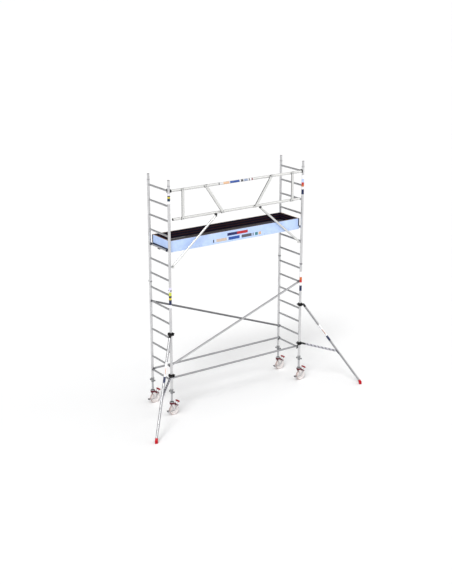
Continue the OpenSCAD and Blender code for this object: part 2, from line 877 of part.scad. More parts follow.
module castor_fork(c) {
    outer = fork_in + fork_t;
    color("#6d1420") at_corner(c) {
        difference() {
            translate([0, 0, head_z]) cylinder(r = head_r, h = head_h);
            translate([0, 0, head_z - cut]) cylinder(r = kingpin_r + run_gap, h = head_h + 2 * cut);
        }
        for (y = [-outer, fork_in]) translate([0, y + fork_t, 0]) rotate([90, 0, 0])
            linear_extrude(fork_t) union() {
                polygon([
                    [-fork_root, head_z + 2 * cut], [trail - fork_boss_r, wheel_r],
                    [trail + fork_boss_r, wheel_r], [trail + fork_boss_r, wheel_r + fork_step],
                    [fork_root, head_z + 2 * cut]
                ]);
                translate([trail, wheel_r]) circle(r = fork_boss_r);
            }
        translate([trail, 0, wheel_r]) rotate([90, 0, 0])
            cylinder(r = axle_r, h = 2 * (rocker_in + rocker_t + axle_past), center = true);
        for (y = [-1, 1])
            translate([trail, y * (rocker_in + rocker_t + (axle_past + axle_head_t) / 2), wheel_r])
                rotate([90, 0, 0]) cylinder(r = axle_head_r, h = axle_head_t, center = true, $fn = 6);
    }
}

module castor_wheel(c) {
    half = wheel_w / 2;
    color("linen") at_corner(c) translate([trail, 0, wheel_r]) rotate([90, 0, 0])
        rotate_extrude($fn = 64) polygon([
            [axle_r + run_gap, -half - hub_past], [hub_r, -half - hub_past],
            [web_r0, -half + web_in], [web_r1, -half + web_out], [rim_r, -half],
            [wheel_r - tread_in, -half], [wheel_r, -half + tread_side],
            [wheel_r, half - tread_side], [wheel_r - tread_in, half],
            [rim_r, half], [web_r1, half - web_out], [web_r0, half - web_in],
            [hub_r, half + hub_past], [axle_r + run_gap, half + hub_past]
        ]);
}

// A flat arm from the axle to q, in the XZ plane
module rocker_arm(q) {
    rotate(atan2(q[1], q[0])) translate([0, -rocker_w / 2]) square([norm(q), rocker_w]);
}

// A rocker on the axle: red pedal in front of the swivel, release tail behind the wheel
module castor_brake(c) {
    outer = rocker_in + rocker_t;
    color("#c01018") at_corner(c) translate([trail, 0, wheel_r]) {
        for (y = [-outer, rocker_in]) translate([0, y + rocker_t, 0]) rotate([90, 0, 0])
            linear_extrude(rocker_t) difference() {
                union() {
                    rocker_arm(pedal);
                    rocker_arm(tail);
                    circle(r = rocker_boss_r);
                }
                circle(r = axle_r + run_gap);
            }
        translate([pedal[0], 0, pedal[1]]) rotate([0, pedal_tilt, 0])
            cube([pedal_size[0], 2 * (outer + bar_past), pedal_size[1]], center = true);
        translate([tail[0], 0, tail[1]]) rotate([90, 0, 0])
            cylinder(r = tail_r, h = 2 * (outer + bar_past), center = true);
    }
}

// ---------- what is drawn ----------

end_frame(-1, 0);  // lower_left_frame
end_frame(1, 0);  // lower_right_frame
end_frame(-1, 1);  // upper_left_frame
end_frame(1, 1);  // upper_right_frame
frame_spigots();
frame_locking_clips();
horizontal_brace(front_y + claw_lane);  // front_horizontal_brace
horizontal_brace(back_y - claw_lane);  // rear_horizontal_brace
diagonal_brace(front_y + claw_lane, 1);  // front_diagonal_brace
diagonal_brace(back_y - claw_lane, -1);  // rear_diagonal_brace
brace_claws();
platform_side_beams();
platform_cross_beams();
platform_deck();
platform_hooks();
trapdoor();
trapdoor_hinge();
trapdoor_handle();
wind_lock(-1);  // wind_lock_left
wind_lock(1);  // wind_lock_right
toe_board_long(-platform_w / 2);  // toe_board_front
toe_board_long(platform_w / 2 - toe_t);  // toe_board_back
toe_board_end(-1);  // toe_board_left
toe_board_end(1);  // toe_board_right
toe_board_corner_clips();
guardrail_top_rail();
guardrail_knee_rail();
guardrail_posts();
guardrail_end_claws();
guardrail_leg(-1);  // guardrail_leg_left
guardrail_leg(1);  // guardrail_leg_right
guardrail_leg_brackets();
for (s = [-1, 1]) {
    name = str("stabilizer_", s < 0 ? "left" : "right");
    stabilizer_couplers(s);
    stabilizer_strut(s);
    stabilizer_arm(s);
    stabilizer_foot(s);
}
for (c = CORNERS) {
    castor_leg(c);
    adjusting_nut(c);
    castor_fork(c);
    castor_wheel(c);
    castor_brake(c);
}
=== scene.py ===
"""Looks of the mobile tower scaffold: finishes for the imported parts, and the small fittings on them.

Metres, +Z up, -Y at the front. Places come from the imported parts' boxes."""

import json
import math

import bmesh
import bpy
from mathutils import Matrix, Vector


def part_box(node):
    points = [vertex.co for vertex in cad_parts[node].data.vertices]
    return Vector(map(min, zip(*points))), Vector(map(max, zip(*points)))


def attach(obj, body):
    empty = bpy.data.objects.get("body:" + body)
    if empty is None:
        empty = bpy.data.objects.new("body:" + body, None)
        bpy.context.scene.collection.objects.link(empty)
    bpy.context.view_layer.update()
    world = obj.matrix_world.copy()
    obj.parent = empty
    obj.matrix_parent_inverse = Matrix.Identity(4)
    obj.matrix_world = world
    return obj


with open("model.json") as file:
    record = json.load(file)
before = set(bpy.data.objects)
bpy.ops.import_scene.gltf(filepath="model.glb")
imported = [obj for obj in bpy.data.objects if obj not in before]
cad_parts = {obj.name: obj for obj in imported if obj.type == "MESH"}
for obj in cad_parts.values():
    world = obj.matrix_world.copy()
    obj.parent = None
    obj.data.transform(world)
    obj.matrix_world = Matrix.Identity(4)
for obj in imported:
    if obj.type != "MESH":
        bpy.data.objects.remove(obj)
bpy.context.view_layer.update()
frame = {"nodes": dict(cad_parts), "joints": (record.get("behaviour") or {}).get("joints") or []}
NODES = frame["nodes"]

MM = 0.001
X, Y, Z = Vector((1, 0, 0)), Vector((0, 1, 0)), Vector((0, 0, 1))
SIDES = {"left": -1, "right": 1}
CORNERS = ("front_left", "front_right", "back_left", "back_right")


# ---------- camera ----------

CAMERA_PLACE = Vector((-11.662, -16.393, 8.76))
CAMERA_TURN = math.radians(-34.64)
CAMERA_DIP = math.radians(18.08)
CAMERA_LENS = 68.31


def make_camera():
    ahead = Vector((
        -math.sin(CAMERA_TURN) * math.cos(CAMERA_DIP),
        math.cos(CAMERA_TURN) * math.cos(CAMERA_DIP),
        -math.sin(CAMERA_DIP),
    ))
    data = bpy.data.cameras.new("camera")
    data.lens = CAMERA_LENS
    data.sensor_width = 36
    data.clip_end = 1000
    camera = bpy.data.objects.new("camera", data)
    bpy.context.scene.collection.objects.link(camera)
    camera.location = CAMERA_PLACE
    camera.rotation_euler = ahead.to_track_quat("-Z", "Y").to_euler()
    bpy.context.scene.camera = camera


make_camera()


# ---------- places on the tower ----------

def middle(node):
    lo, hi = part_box(node)
    return (lo + hi) / 2


UPRIGHT_R = 25.4 * MM
RUNG_R = 17.5 * MM
RAIL_R = 24 * MM
STRUT_R = 22.5 * MM
STRUT_REACH = 1.26
ARM_SHARE = 0.6
ARM_R = 19 * MM
HUB_R = 20 * MM
RUNGS_EACH = 7
FRAME_TAIL = 180 * MM

frame_lo, frame_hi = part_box("lower_left_frame")
upper_lo, upper_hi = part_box("upper_left_frame")
END_X = {"left": middle("lower_left_frame").x, "right": middle("lower_right_frame").x}
FRONT_Y = frame_lo.y + UPRIGHT_R
BACK_Y = frame_hi.y - UPRIGHT_R
MID_Y = (FRONT_Y + BACK_Y) / 2
RUNG_PITCH = (upper_lo.z - frame_lo.z) / RUNGS_EACH
FIRST_RUNG = frame_lo.z + FRAME_TAIL
TOP_Z = FIRST_RUNG + (2 * RUNGS_EACH - 1) * RUNG_PITCH


def rung_z(k):
    """Height of rung k, counted from the ground."""
    return FIRST_RUNG + (k - 1) * RUNG_PITCH


def upright(side, depth):
    """The foot of an upright's axis: side left or right, depth front or back."""
    return Vector((END_X[side], FRONT_Y if depth == "front" else BACK_Y, 0))


def inward(side):
    """Unit vector from an end frame towards the middle of the bay."""
    return Vector((-SIDES[side], 0, 0))


# ---------- shared shader groups ----------

def new_group(name, inputs, outputs):
    group = bpy.data.node_groups.new(name, "ShaderNodeTree")
    for label, kind, value in inputs:
        socket = group.interface.new_socket(label, in_out="INPUT", socket_type=kind)
        socket.default_value = value
    for label, kind in outputs:
        group.interface.new_socket(label, in_out="OUTPUT", socket_type=kind)
    return group, group.nodes.new("NodeGroupInput"), group.nodes.new("NodeGroupOutput")


def add(tree, kind, settings=None, values=None):
    """A node with its settings, and with its inputs set or linked by name or number."""
    node = tree.nodes.new(kind)
    for key, value in (settings or {}).items():
        setattr(node, key, value)
    for key, value in (values or {}).items():
        if isinstance(value, bpy.types.NodeSocket):
            tree.links.new(value, node.inputs[key])
        else:
            node.inputs[key].default_value = value
    return node


def math_node(tree, operation, a, b=0.0, clamp=False):
    return add(tree, "ShaderNodeMath", {"operation": operation, "use_clamp": clamp}, {0: a, 1: b}).outputs[0]


def noise(tree, vector, scale, detail=4.0, rough=0.55):
    values = {"Vector": vector, "Scale": scale, "Detail": detail, "Roughness": rough}
    return add(tree, "ShaderNodeTexNoise", None, values).outputs["Fac"]


def spread(tree, value, low, high, new_low=0.0, new_high=1.0):
    values = {"Value": value, "From Min": low, "From Max": high, "To Min": new_low, "To Max": new_high}
    return add(tree, "ShaderNodeMapRange", None, values).outputs[0]


def mixed(tree, factor, a, b, blend="MIX"):
    node = add(tree, "ShaderNodeMix", {"data_type": "RGBA", "blend_type": blend})
    for socket, value in ((node.inputs[0], factor), (node.inputs[6], a), (node.inputs[7], b)):
        if isinstance(value, bpy.types.NodeSocket):
            tree.links.new(value, socket)
        else:
            socket.default_value = value
    return node.outputs[2]


def make_grain_group():
    """Drawn or rolled metal: long fine streaks under broad cloudy patches."""
    group, source, sink = new_group(
        "metal_grain",
        [("Vector", "NodeSocketVector", (0, 0, 0)), ("Stretch", "NodeSocketVector", (1, 1, 1)),
         ("Color", "NodeSocketColor", (1, 1, 1, 1)), ("Shade", "NodeSocketColor", (0, 0, 0, 1)),
         ("Smooth", "NodeSocketFloat", 0.3), ("Rough", "NodeSocketFloat", 0.5)],
        [("Color", "NodeSocketColor"), ("Roughness", "NodeSocketFloat"), ("Height", "NodeSocketFloat")],
    )
    stretched = add(group, "ShaderNodeVectorMath", {"operation": "MULTIPLY"},
                    {0: source.outputs["Vector"], 1: source.outputs["Stretch"]}).outputs[0]
    streaks = noise(group, stretched, 900, 3)
    clouds = noise(group, source.outputs["Vector"], 7, 5, 0.6)
    blend = math_node(group, "MULTIPLY", spread(group, streaks, 0.35, 0.7), spread(group, clouds, 0.2, 0.8))
    color = mixed(group, blend, source.outputs["Color"], source.outputs["Shade"])
    rough = add(group, "ShaderNodeMapRange", None,
                {"Value": blend, "To Min": source.outputs["Smooth"], "To Max": source.outputs["Rough"]})
    group.links.new(color, sink.inputs["Color"])
    group.links.new(rough.outputs[0], sink.inputs["Roughness"])
    group.links.new(streaks, sink.inputs["Height"])
    return group


def make_scuff_group():
    """Short thin scratches, gathered in patches."""
    group, source, sink = new_group(
        "scuffs",
        [("Vector", "NodeSocketVector", (0, 0, 0)), ("Scale", "NodeSocketFloat", 40.0),
         ("Amount", "NodeSocketFloat", 0.5)],
        [("Mask", "NodeSocketFloat")],
    )
    warp = add(group, "ShaderNodeTexNoise", None, {"Vector": source.outputs["Vector"], "Scale": 14.0})
    bent = mixed(group, 0.12, source.outputs["Vector"], warp.outputs["Color"])
    cells = add(group, "ShaderNodeTexVoronoi", {"feature": "DISTANCE_TO_EDGE"},
                {"Vector": bent, "Scale": source.outputs["Scale"]}).outputs["Distance"]
    lines = spread(group, cells, 0.0, 0.018, 1.0, 0.0)
    patches = spread(group, noise(group, source.outputs["Vector"], 5, 4), 0.52, 0.68)
    mask = math_node(group, "MULTIPLY", lines, patches)
    mask = math_node(group, "MULTIPLY", mask, source.outputs["Amount"], clamp=True)
    group.links.new(mask, sink.inputs["Mask"])
    return group


def make_dust_group():
    """Pale dust on faces that look up, in soft patches."""
    group, source, sink = new_group(
        "settled_dust",
        [("Vector", "NodeSocketVector", (0, 0, 0)), ("Color", "NodeSocketColor", (1, 1, 1, 1)),
         ("Dust", "NodeSocketColor", (0.55, 0.52, 0.48, 1)), ("Amount", "NodeSocketFloat", 0.3)],
        [("Color", "NodeSocketColor")],
    )
    normal = group.nodes.new("ShaderNodeNewGeometry").outputs["Normal"]
    up = add(group, "ShaderNodeSeparateXYZ", None, {0: normal}).outputs["Z"]
    facing = spread(group, up, 0.2, 1.0)
    patchy = spread(group, noise(group, source.outputs["Vector"], 9, 6, 0.65), 0.35, 0.75)
    mask = math_node(group, "MULTIPLY", facing, patchy)
    mask = math_node(group, "MULTIPLY", mask, source.outputs["Amount"], clamp=True)
    group.links.new(mixed(group, mask, source.outputs["Color"], source.outputs["Dust"]), sink.inputs["Color"])
    return group


GRAIN, SCUFFS, DUST = make_grain_group(), make_scuff_group(), make_dust_group()


# ---------- materials ----------

def rgb(hexadecimal):
    """Linear colour from a six-digit sRGB value."""
    parts = [int(hexadecimal[i:i + 2], 16) / 255 for i in (0, 2, 4)]
    return (*[c / 12.92 if c <= 0.04045 else ((c + 0.055) / 1.055) ** 2.4 for c in parts], 1.0)


def stabilizer_lines(side):
    """The upright's foot, the unit vector out along the stabilizer, and the two pivots."""
    raised = next(j for j in frame["joints"] if j["child"] == f"stabilizer_{side}_strut")
    dropped = next(j for j in frame["joints"] if j["child"] == f"stabilizer_{side}_arm")
    high, low = Vector(raised["pos_m"]), Vector(dropped["pos_m"])
    foot = upright(side, "front")
    out = high - foot
    out.z = 0
    return foot, out.normalized(), high, low


def strut_foot(side):
    """Where the strut's axis meets its rubber foot."""
    foot, out = stabilizer_lines(side)[:2]
    return foot + out * STRUT_REACH + Z * 45 * MM


def arm_line(side):
    """The arm's pivot and the point where it is held on the strut."""
    high, low = stabilizer_lines(side)[2:]
    return low, high + (strut_foot(side) - high) * ARM_SHARE


# Paint, film and rubber are dull enough to keep their colour under a white sky
PAINT_SHINE = 0.15


def new_material(name, metallic=0.0, roughness=0.5, **sockets):
    material = bpy.data.materials.new(name)
    material.use_nodes = True
    tree = material.node_tree
    surface = tree.nodes["Principled BSDF"]
    surface.inputs["Metallic"].default_value = metallic
    surface.inputs["Roughness"].default_value = roughness
    if not metallic:
        surface.inputs["Specular IOR Level"].default_value = PAINT_SHINE
    for socket, value in sockets.items():
        surface.inputs[socket.replace("_", " ")].default_value = value
    place = tree.nodes.new("ShaderNodeTexCoord").outputs["Object"]
    return material, tree, surface, place


def use_group(tree, group, values):
    return add(tree, "ShaderNodeGroup", {"node_tree": group}, values)


def bump(tree, surface, height, strength, distance):
    node = add(tree, "ShaderNodeBump", None, {"Height": height, "Strength": strength, "Distance": distance})
    tree.links.new(node.outputs["Normal"], surface.inputs["Normal"])


def metal(name, color, shade, stretch, metallic=0.85, smooth=0.3, rough=0.5, scuffed=0.5, dusty=0.12):
    """Drawn, rolled or plated metal, with streaks along its length, scratches and a little dust."""
    material, tree, surface, place = new_material(name, metallic)
    grain = use_group(tree, GRAIN, {
        "Vector": place, "Stretch": stretch, "Color": rgb(color), "Shade": rgb(shade),
        "Smooth": smooth, "Rough": rough,
    })
    scratch = use_group(tree, SCUFFS, {"Vector": place, "Scale": 55.0, "Amount": scuffed})
    marked = mixed(tree, scratch.outputs["Mask"], grain.outputs["Color"], rgb(shade))
    dust = use_group(tree, DUST, {"Vector": place, "Color": marked, "Amount": dusty})
    tree.links.new(dust.outputs["Color"], surface.inputs["Base Color"])
    tree.links.new(grain.outputs["Roughness"], surface.inputs["Roughness"])
    height = math_node(tree, "SUBTRACT", grain.outputs["Height"], scratch.outputs["Mask"])
    bump(tree, surface, height, 0.25, 0.3 * MM)
    return material


def coated(name, color, shade, roughness=0.45, pebble=600.0, worn=0.35, worn_to="8c8c90", coat=0.0):
    """Powder coat, moulded plastic or painted casting: an orange-peel skin with rubbed spots."""
    material, tree, surface, place = new_material(name, 0.0, roughness, Coat_Weight=coat)
    skin = noise(tree, place, pebble, 2)
    clouds = spread(tree, noise(tree, place, 18, 5, 0.6), 0.3, 0.75)
    color_node = mixed(tree, clouds, rgb(color), rgb(shade))
    scratch = use_group(tree, SCUFFS, {"Vector": place, "Scale": 90.0, "Amount": worn})
    rubbed = mixed(tree, scratch.outputs["Mask"], color_node, rgb(worn_to))
    dust = use_group(tree, DUST, {"Vector": place, "Color": rubbed, "Amount": 0.15})
    tree.links.new(dust.outputs["Color"], surface.inputs["Base Color"])
    tree.links.new(spread(tree, clouds, 0, 1, roughness - 0.08, roughness + 0.12), surface.inputs["Roughness"])
    bump(tree, surface, skin, 0.3, 0.3 * MM)
    return material


def height_step(tree, place, level, soft=0.5 * MM):
    """0 below a height and 1 above it."""
    z = add(tree, "ShaderNodeSeparateXYZ", None, {0: place}).outputs["Z"]
    return spread(tree, z, level - soft, level + soft)


def two_tone(name, low, high, level, metallic_low=0.8):
    """Plated steel below a height and paint above it, as on a castor's fork."""
    material, tree, surface, place = new_material(name)
    above = height_step(tree, place, level)
    clouds = spread(tree, noise(tree, place, 25, 5, 0.6), 0.3, 0.75)
    steel = mixed(tree, clouds, rgb(low[0]), rgb(low[1]))
    paint = mixed(tree, clouds, rgb(high[0]), rgb(high[1]))
    scratch = use_group(tree, SCUFFS, {"Vector": place, "Scale": 80.0, "Amount": 0.5})
    color = mixed(tree, above, steel, paint)
    color = mixed(tree, scratch.outputs["Mask"], color, rgb("a9a6a4"))
    dust = use_group(tree, DUST, {"Vector": place, "Color": color, "Amount": 0.18})
    tree.links.new(dust.outputs["Color"], surface.inputs["Base Color"])
    tree.links.new(spread(tree, above, 0, 1, metallic_low, 0.0), surface.inputs["Metallic"])
    tree.links.new(spread(tree, clouds, 0, 1, 0.3, 0.5), surface.inputs["Roughness"])
    bump(tree, surface, noise(tree, place, 500, 2), 0.25, 0.3 * MM)
    return material


def fluted_metal(name, color, groove, ribs, twist):
    """A rung's tube: ribs that wind slowly round it, with painted shade in the grooves between them."""
    material, tree, surface, place = new_material(name, 0.5)
    parts = add(tree, "ShaderNodeSeparateXYZ", None, {0: place}).outputs
    side = math_node(tree, "SUBTRACT", math_node(tree, "ABSOLUTE", parts["X"]), END_X["right"])
    level = math_node(tree, "DIVIDE", math_node(tree, "SUBTRACT", parts["Z"], FIRST_RUNG), RUNG_PITCH)
    rise = math_node(tree, "SUBTRACT", level, math_node(tree, "ROUND", level))
    angle = math_node(tree, "ARCTAN2", math_node(tree, "MULTIPLY", rise, RUNG_PITCH), side)
    wound = math_node(tree, "ADD", math_node(tree, "MULTIPLY", angle, ribs),
                      math_node(tree, "MULTIPLY", parts["Y"], twist))
    wave = spread(tree, math_node(tree, "SINE", wound), -0.35, 0.35)
    grain = use_group(tree, GRAIN, {
        "Vector": place, "Stretch": ALONG_Y, "Color": rgb(color), "Shade": rgb("9a9a9d"),
        "Smooth": 0.28, "Rough": 0.45,
    })
    # painted shade: the groove colour darkens the troughs of the bump
    striped = mixed(tree, wave, rgb(groove), grain.outputs["Color"])
    dust = use_group(tree, DUST, {"Vector": place, "Color": striped, "Amount": 0.1})
    tree.links.new(dust.outputs["Color"], surface.inputs["Base Color"])
    tree.links.new(grain.outputs["Roughness"], surface.inputs["Roughness"])
    bump(tree, surface, wave, 0.6, 0.6 * MM)
    return material


def wound_metal(name, color, groove, pitch):
    """An arm's tube: broad bands of painted shade wound round it, in the troughs of its bump; the two arms
    mirror each other in X.
    """
    material, tree, surface, place = new_material(name, 0.7)
    pivot, end = arm_line("right")
    along = (end - pivot).normalized()
    wind = (along + along.cross(Y).normalized() * 0.9) * (2 * math.pi / pitch)
    parts = add(tree, "ShaderNodeSeparateXYZ", None, {0: place}).outputs
    run = math_node(tree, "MULTIPLY", math_node(tree, "ABSOLUTE", parts["X"]), wind.x)
    run = math_node(tree, "ADD", run, math_node(tree, "MULTIPLY", parts["Y"], wind.y))
    run = math_node(tree, "ADD", run, math_node(tree, "MULTIPLY", parts["Z"], wind.z))
    wave = spread(tree, math_node(tree, "SINE", run), -0.3, 0.3)
    grain = use_group(tree, GRAIN, {
        "Vector": place, "Stretch": EVENLY, "Color": rgb(color), "Shade": rgb("8f8e96"),
        "Smooth": 0.3, "Rough": 0.48,
    })
    # painted shade: the groove colour darkens the troughs of the bump
    striped = mixed(tree, wave, rgb(groove), grain.outputs["Color"])
    dust = use_group(tree, DUST, {"Vector": place, "Color": striped, "Amount": 0.1})
    tree.links.new(dust.outputs["Color"], surface.inputs["Base Color"])
    tree.links.new(grain.outputs["Roughness"], surface.inputs["Roughness"])
    bump(tree, surface, wave, 0.6, 0.6 * MM)
    return material


def wheel_nylon(name, face, rim, hub, tread_from):
    """Pale nylon with a warmer tread and rim, a greyer hub and grubby patches; wheels are alike in X."""
    material, tree, surface, place = new_material(name, 0.0, 0.45)
    parts = add(tree, "ShaderNodeSeparateXYZ", None, {0: place}).outputs
    trail = hub.x - END_X["right"]
    run = math_node(tree, "ABSOLUTE", math_node(tree, "SUBTRACT", parts["X"], trail))
    run = math_node(tree, "SUBTRACT", run, END_X["right"])
    rise = math_node(tree, "SUBTRACT", parts["Z"], hub.z)
    run_squared = math_node(tree, "MULTIPLY", run, run)
    rise_squared = math_node(tree, "MULTIPLY", rise, rise)
    radius = math_node(tree, "SQRT", math_node(tree, "ADD", run_squared, rise_squared))
    on_tread = spread(tree, radius, tread_from - 1 * MM, tread_from + 1 * MM)
    on_hub = spread(tree, radius, HUB_R - 1 * MM, HUB_R + 1 * MM, 1.0, 0.0)
    clouds = spread(tree, noise(tree, place, 26, 6, 0.65), 0.35, 0.75)
    pale = mixed(tree, clouds, rgb(face[0]), rgb(face[1]))
    warm = mixed(tree, clouds, rgb(rim[0]), rgb(rim[1]))
    color = mixed(tree, on_tread, pale, warm)
    color = mixed(tree, on_hub, color, rgb("8f9694"))
    dust = use_group(tree, DUST, {"Vector": place, "Color": color, "Amount": 0.1})
    tree.links.new(dust.outputs["Color"], surface.inputs["Base Color"])
    tree.links.new(spread(tree, clouds, 0, 1, 0.38, 0.58), surface.inputs["Roughness"])
    bump(tree, surface, noise(tree, place, 700, 2), 0.25, 0.2 * MM)
    return material


def film_faced_board(name, face, groove, edge, level):
    """Plywood with a dark anti-slip film on top and bare layered edges."""
    material, tree, surface, place = new_material(name, 0.0, 0.5)
    cells = add(tree, "ShaderNodeTexVoronoi", {"feature": "DISTANCE_TO_EDGE", "voronoi_dimensions": "2D"},
                {"Vector": place, "Scale": 160.0, "Randomness": 0.0}).outputs["Distance"]
    mesh_lines = spread(tree, cells, 0.03, 0.12, 1.0, 0.0)
    wear = spread(tree, noise(tree, place, 3.2, 6, 0.65), 0.5, 0.75, 0.0, 0.5)
    top = mixed(tree, wear, rgb(face), rgb(groove))
    parts = add(tree, "ShaderNodeSeparateXYZ", None, {0: place}).outputs
    top = mixed(tree, spread(tree, parts["X"], 0.3, 1.3), top, rgb("0a0b34"))
    planks = add(tree, "ShaderNodeTexWave", {"bands_direction": "Y"},
                 {"Vector": place, "Scale": 5.2, "Distortion": 0.4, "Detail": 2.0}).outputs["Fac"]
    top = mixed(tree, spread(tree, planks, 0.88, 0.97), top, rgb("3a1a20"))
    top = mixed(tree, math_node(tree, "MULTIPLY", mesh_lines, 0.2), top, rgb("2a2326"))
    layers = add(tree, "ShaderNodeTexWave", {"bands_direction": "Z"},
                 {"Vector": place, "Scale": 110.0, "Distortion": 1.2, "Detail": 3.0}).outputs["Fac"]
    side = mixed(tree, layers, rgb(edge), rgb("5a3a24"))
    normal = tree.nodes.new("ShaderNodeNewGeometry").outputs["Normal"]
    up = add(tree, "ShaderNodeSeparateXYZ", None, {0: normal}).outputs["Z"]
    flat = spread(tree, math_node(tree, "ABSOLUTE", up), 0.3, 0.6)
    on_hinge = height_step(tree, place, level)
    color = mixed(tree, flat, side, top)
    color = mixed(tree, on_hinge, color, rgb("8e8f92"))
    dust = use_group(tree, DUST, {"Vector": place, "Color": color, "Amount": 0.04})
    tree.links.new(dust.outputs["Color"], surface.inputs["Base Color"])
    tree.links.new(spread(tree, mesh_lines, 0, 1, 0.38, 0.6), surface.inputs["Roughness"])
    tree.links.new(on_hinge, surface.inputs["Metallic"])
    bump(tree, surface, mesh_lines, 0.6, 0.5 * MM)
    return material


def board_paint(name, across, centre, outer_sign, outside, inside):
    """Toe board: pale paint outside, dark film inside, a bare ply edge on top."""
    material, tree, surface, place = new_material(name, 0.0, 0.6)
    parts = add(tree, "ShaderNodeSeparateXYZ", None, {0: place})
    offset = math_node(tree, "SUBTRACT", parts.outputs[across], centre)
    offset = math_node(tree, "MULTIPLY", offset, outer_sign)
    is_outer = spread(tree, offset, -0.5 * MM, 0.5 * MM)
    clouds = spread(tree, noise(tree, place, 4, 5, 0.6), 0.3, 0.75)
    pale = mixed(tree, clouds, rgb(outside[0]), rgb(outside[1]))
    dark = mixed(tree, clouds, rgb(inside[0]), rgb(inside[1]))
    scratch = use_group(tree, SCUFFS, {"Vector": place, "Scale": 45.0, "Amount": 0.5})
    stripes = add(tree, "ShaderNodeTexWave", {"bands_direction": "Z"},
                  {"Vector": place, "Scale": 6.5, "Distortion": 0.6, "Detail": 2.0}).outputs["Fac"]
    dark = mixed(tree, spread(tree, stripes, 0.8, 0.95), dark, rgb("4d2a24"))
    dark = mixed(tree, scratch.outputs["Mask"], dark, rgb("7d6a60"))
    pale = mixed(tree, scratch.outputs["Mask"], pale, rgb("7f93b5"))
    color = mixed(tree, is_outer, dark, pale)
    layers = add(tree, "ShaderNodeTexWave", {"bands_direction": across},
                 {"Vector": place, "Scale": 60.0, "Distortion": 1.5, "Detail": 3.0}).outputs["Fac"]
    ply = mixed(tree, layers, rgb("b08d68"), rgb("6d4a31"))
    normal = tree.nodes.new("ShaderNodeNewGeometry").outputs["Normal"]
    up = add(tree, "ShaderNodeSeparateXYZ", None, {0: normal}).outputs["Z"]
    is_top = spread(tree, math_node(tree, "ABSOLUTE", up), 0.5, 0.8)
    color = mixed(tree, is_top, color, ply)
    tree.links.new(color, surface.inputs["Base Color"])
    tree.links.new(spread(tree, clouds, 0, 1, 0.32, 0.5), surface.inputs["Roughness"])
    bump(tree, surface, noise(tree, place, 260, 3), 0.15, 0.3 * MM)
    return material


def rubber(name, color, shade, roughness=0.6):
    """Moulded rubber or nylon with a fine matt grain, cloudy patches and grubby specks."""
    material, tree, surface, place = new_material(name, 0.0, roughness)
    clouds = spread(tree, noise(tree, place, 30, 6, 0.65), 0.35, 0.75)
    specks = spread(tree, noise(tree, place, 400, 3), 0.6, 0.72)
    color_node = mixed(tree, clouds, rgb(color), rgb(shade))
    color_node = mixed(tree, math_node(tree, "MULTIPLY", specks, 0.35), color_node, rgb("5e5652"))
    dust = use_group(tree, DUST, {"Vector": place, "Color": color_node, "Amount": 0.15})
    tree.links.new(dust.outputs["Color"], surface.inputs["Base Color"])
    tree.links.new(spread(tree, clouds, 0, 1, roughness - 0.1, roughness + 0.15), surface.inputs["Roughness"])
    bump(tree, surface, noise(tree, place, 900, 2), 0.3, 0.2 * MM)
    return material


def printed_film(name, bands):
    """A sticker of plain colour bands along its own UV map; bands are (start, colour)."""
    material, tree, surface, place = new_material(name, 0.0, 0.35, Coat_Weight=0.3)
    uv = add(tree, "ShaderNodeUVMap", {"uv_map": "along"}).outputs["UV"]
    along = add(tree, "ShaderNodeSeparateXYZ", None, {0: uv}).outputs["X"]
    ramp = add(tree, "ShaderNodeValToRGB", None, {"Fac": along})
    ramp.color_ramp.interpolation = "CONSTANT"
    stops = ramp.color_ramp.elements
    stops[0].color = rgb(bands[0][1])
    stops[1].position, stops[1].color = bands[1][0], rgb(bands[1][1])
    for start, color in bands[2:]:
        stops.new(start).color = rgb(color)
    scratch = use_group(tree, SCUFFS, {"Vector": place, "Scale": 130.0, "Amount": 0.6})
    grime = spread(tree, noise(tree, place, 60, 5, 0.6), 0.4, 0.8, 0.0, 0.15)
    color = mixed(tree, grime, ramp.outputs["Color"], rgb("7c7a78"))
    color = mixed(tree, scratch.outputs["Mask"], color, rgb("b9b9ba"))
    tree.links.new(color, surface.inputs["Base Color"])
    tree.links.new(spread(tree, grime, 0, 0.15, 0.3, 0.5), surface.inputs["Roughness"])
    return material


ALONG_X, ALONG_Y, ALONG_Z = (0.02, 1, 1), (1, 0.02, 1), (1, 1, 0.02)
EVENLY = (0.3, 0.3, 0.3)

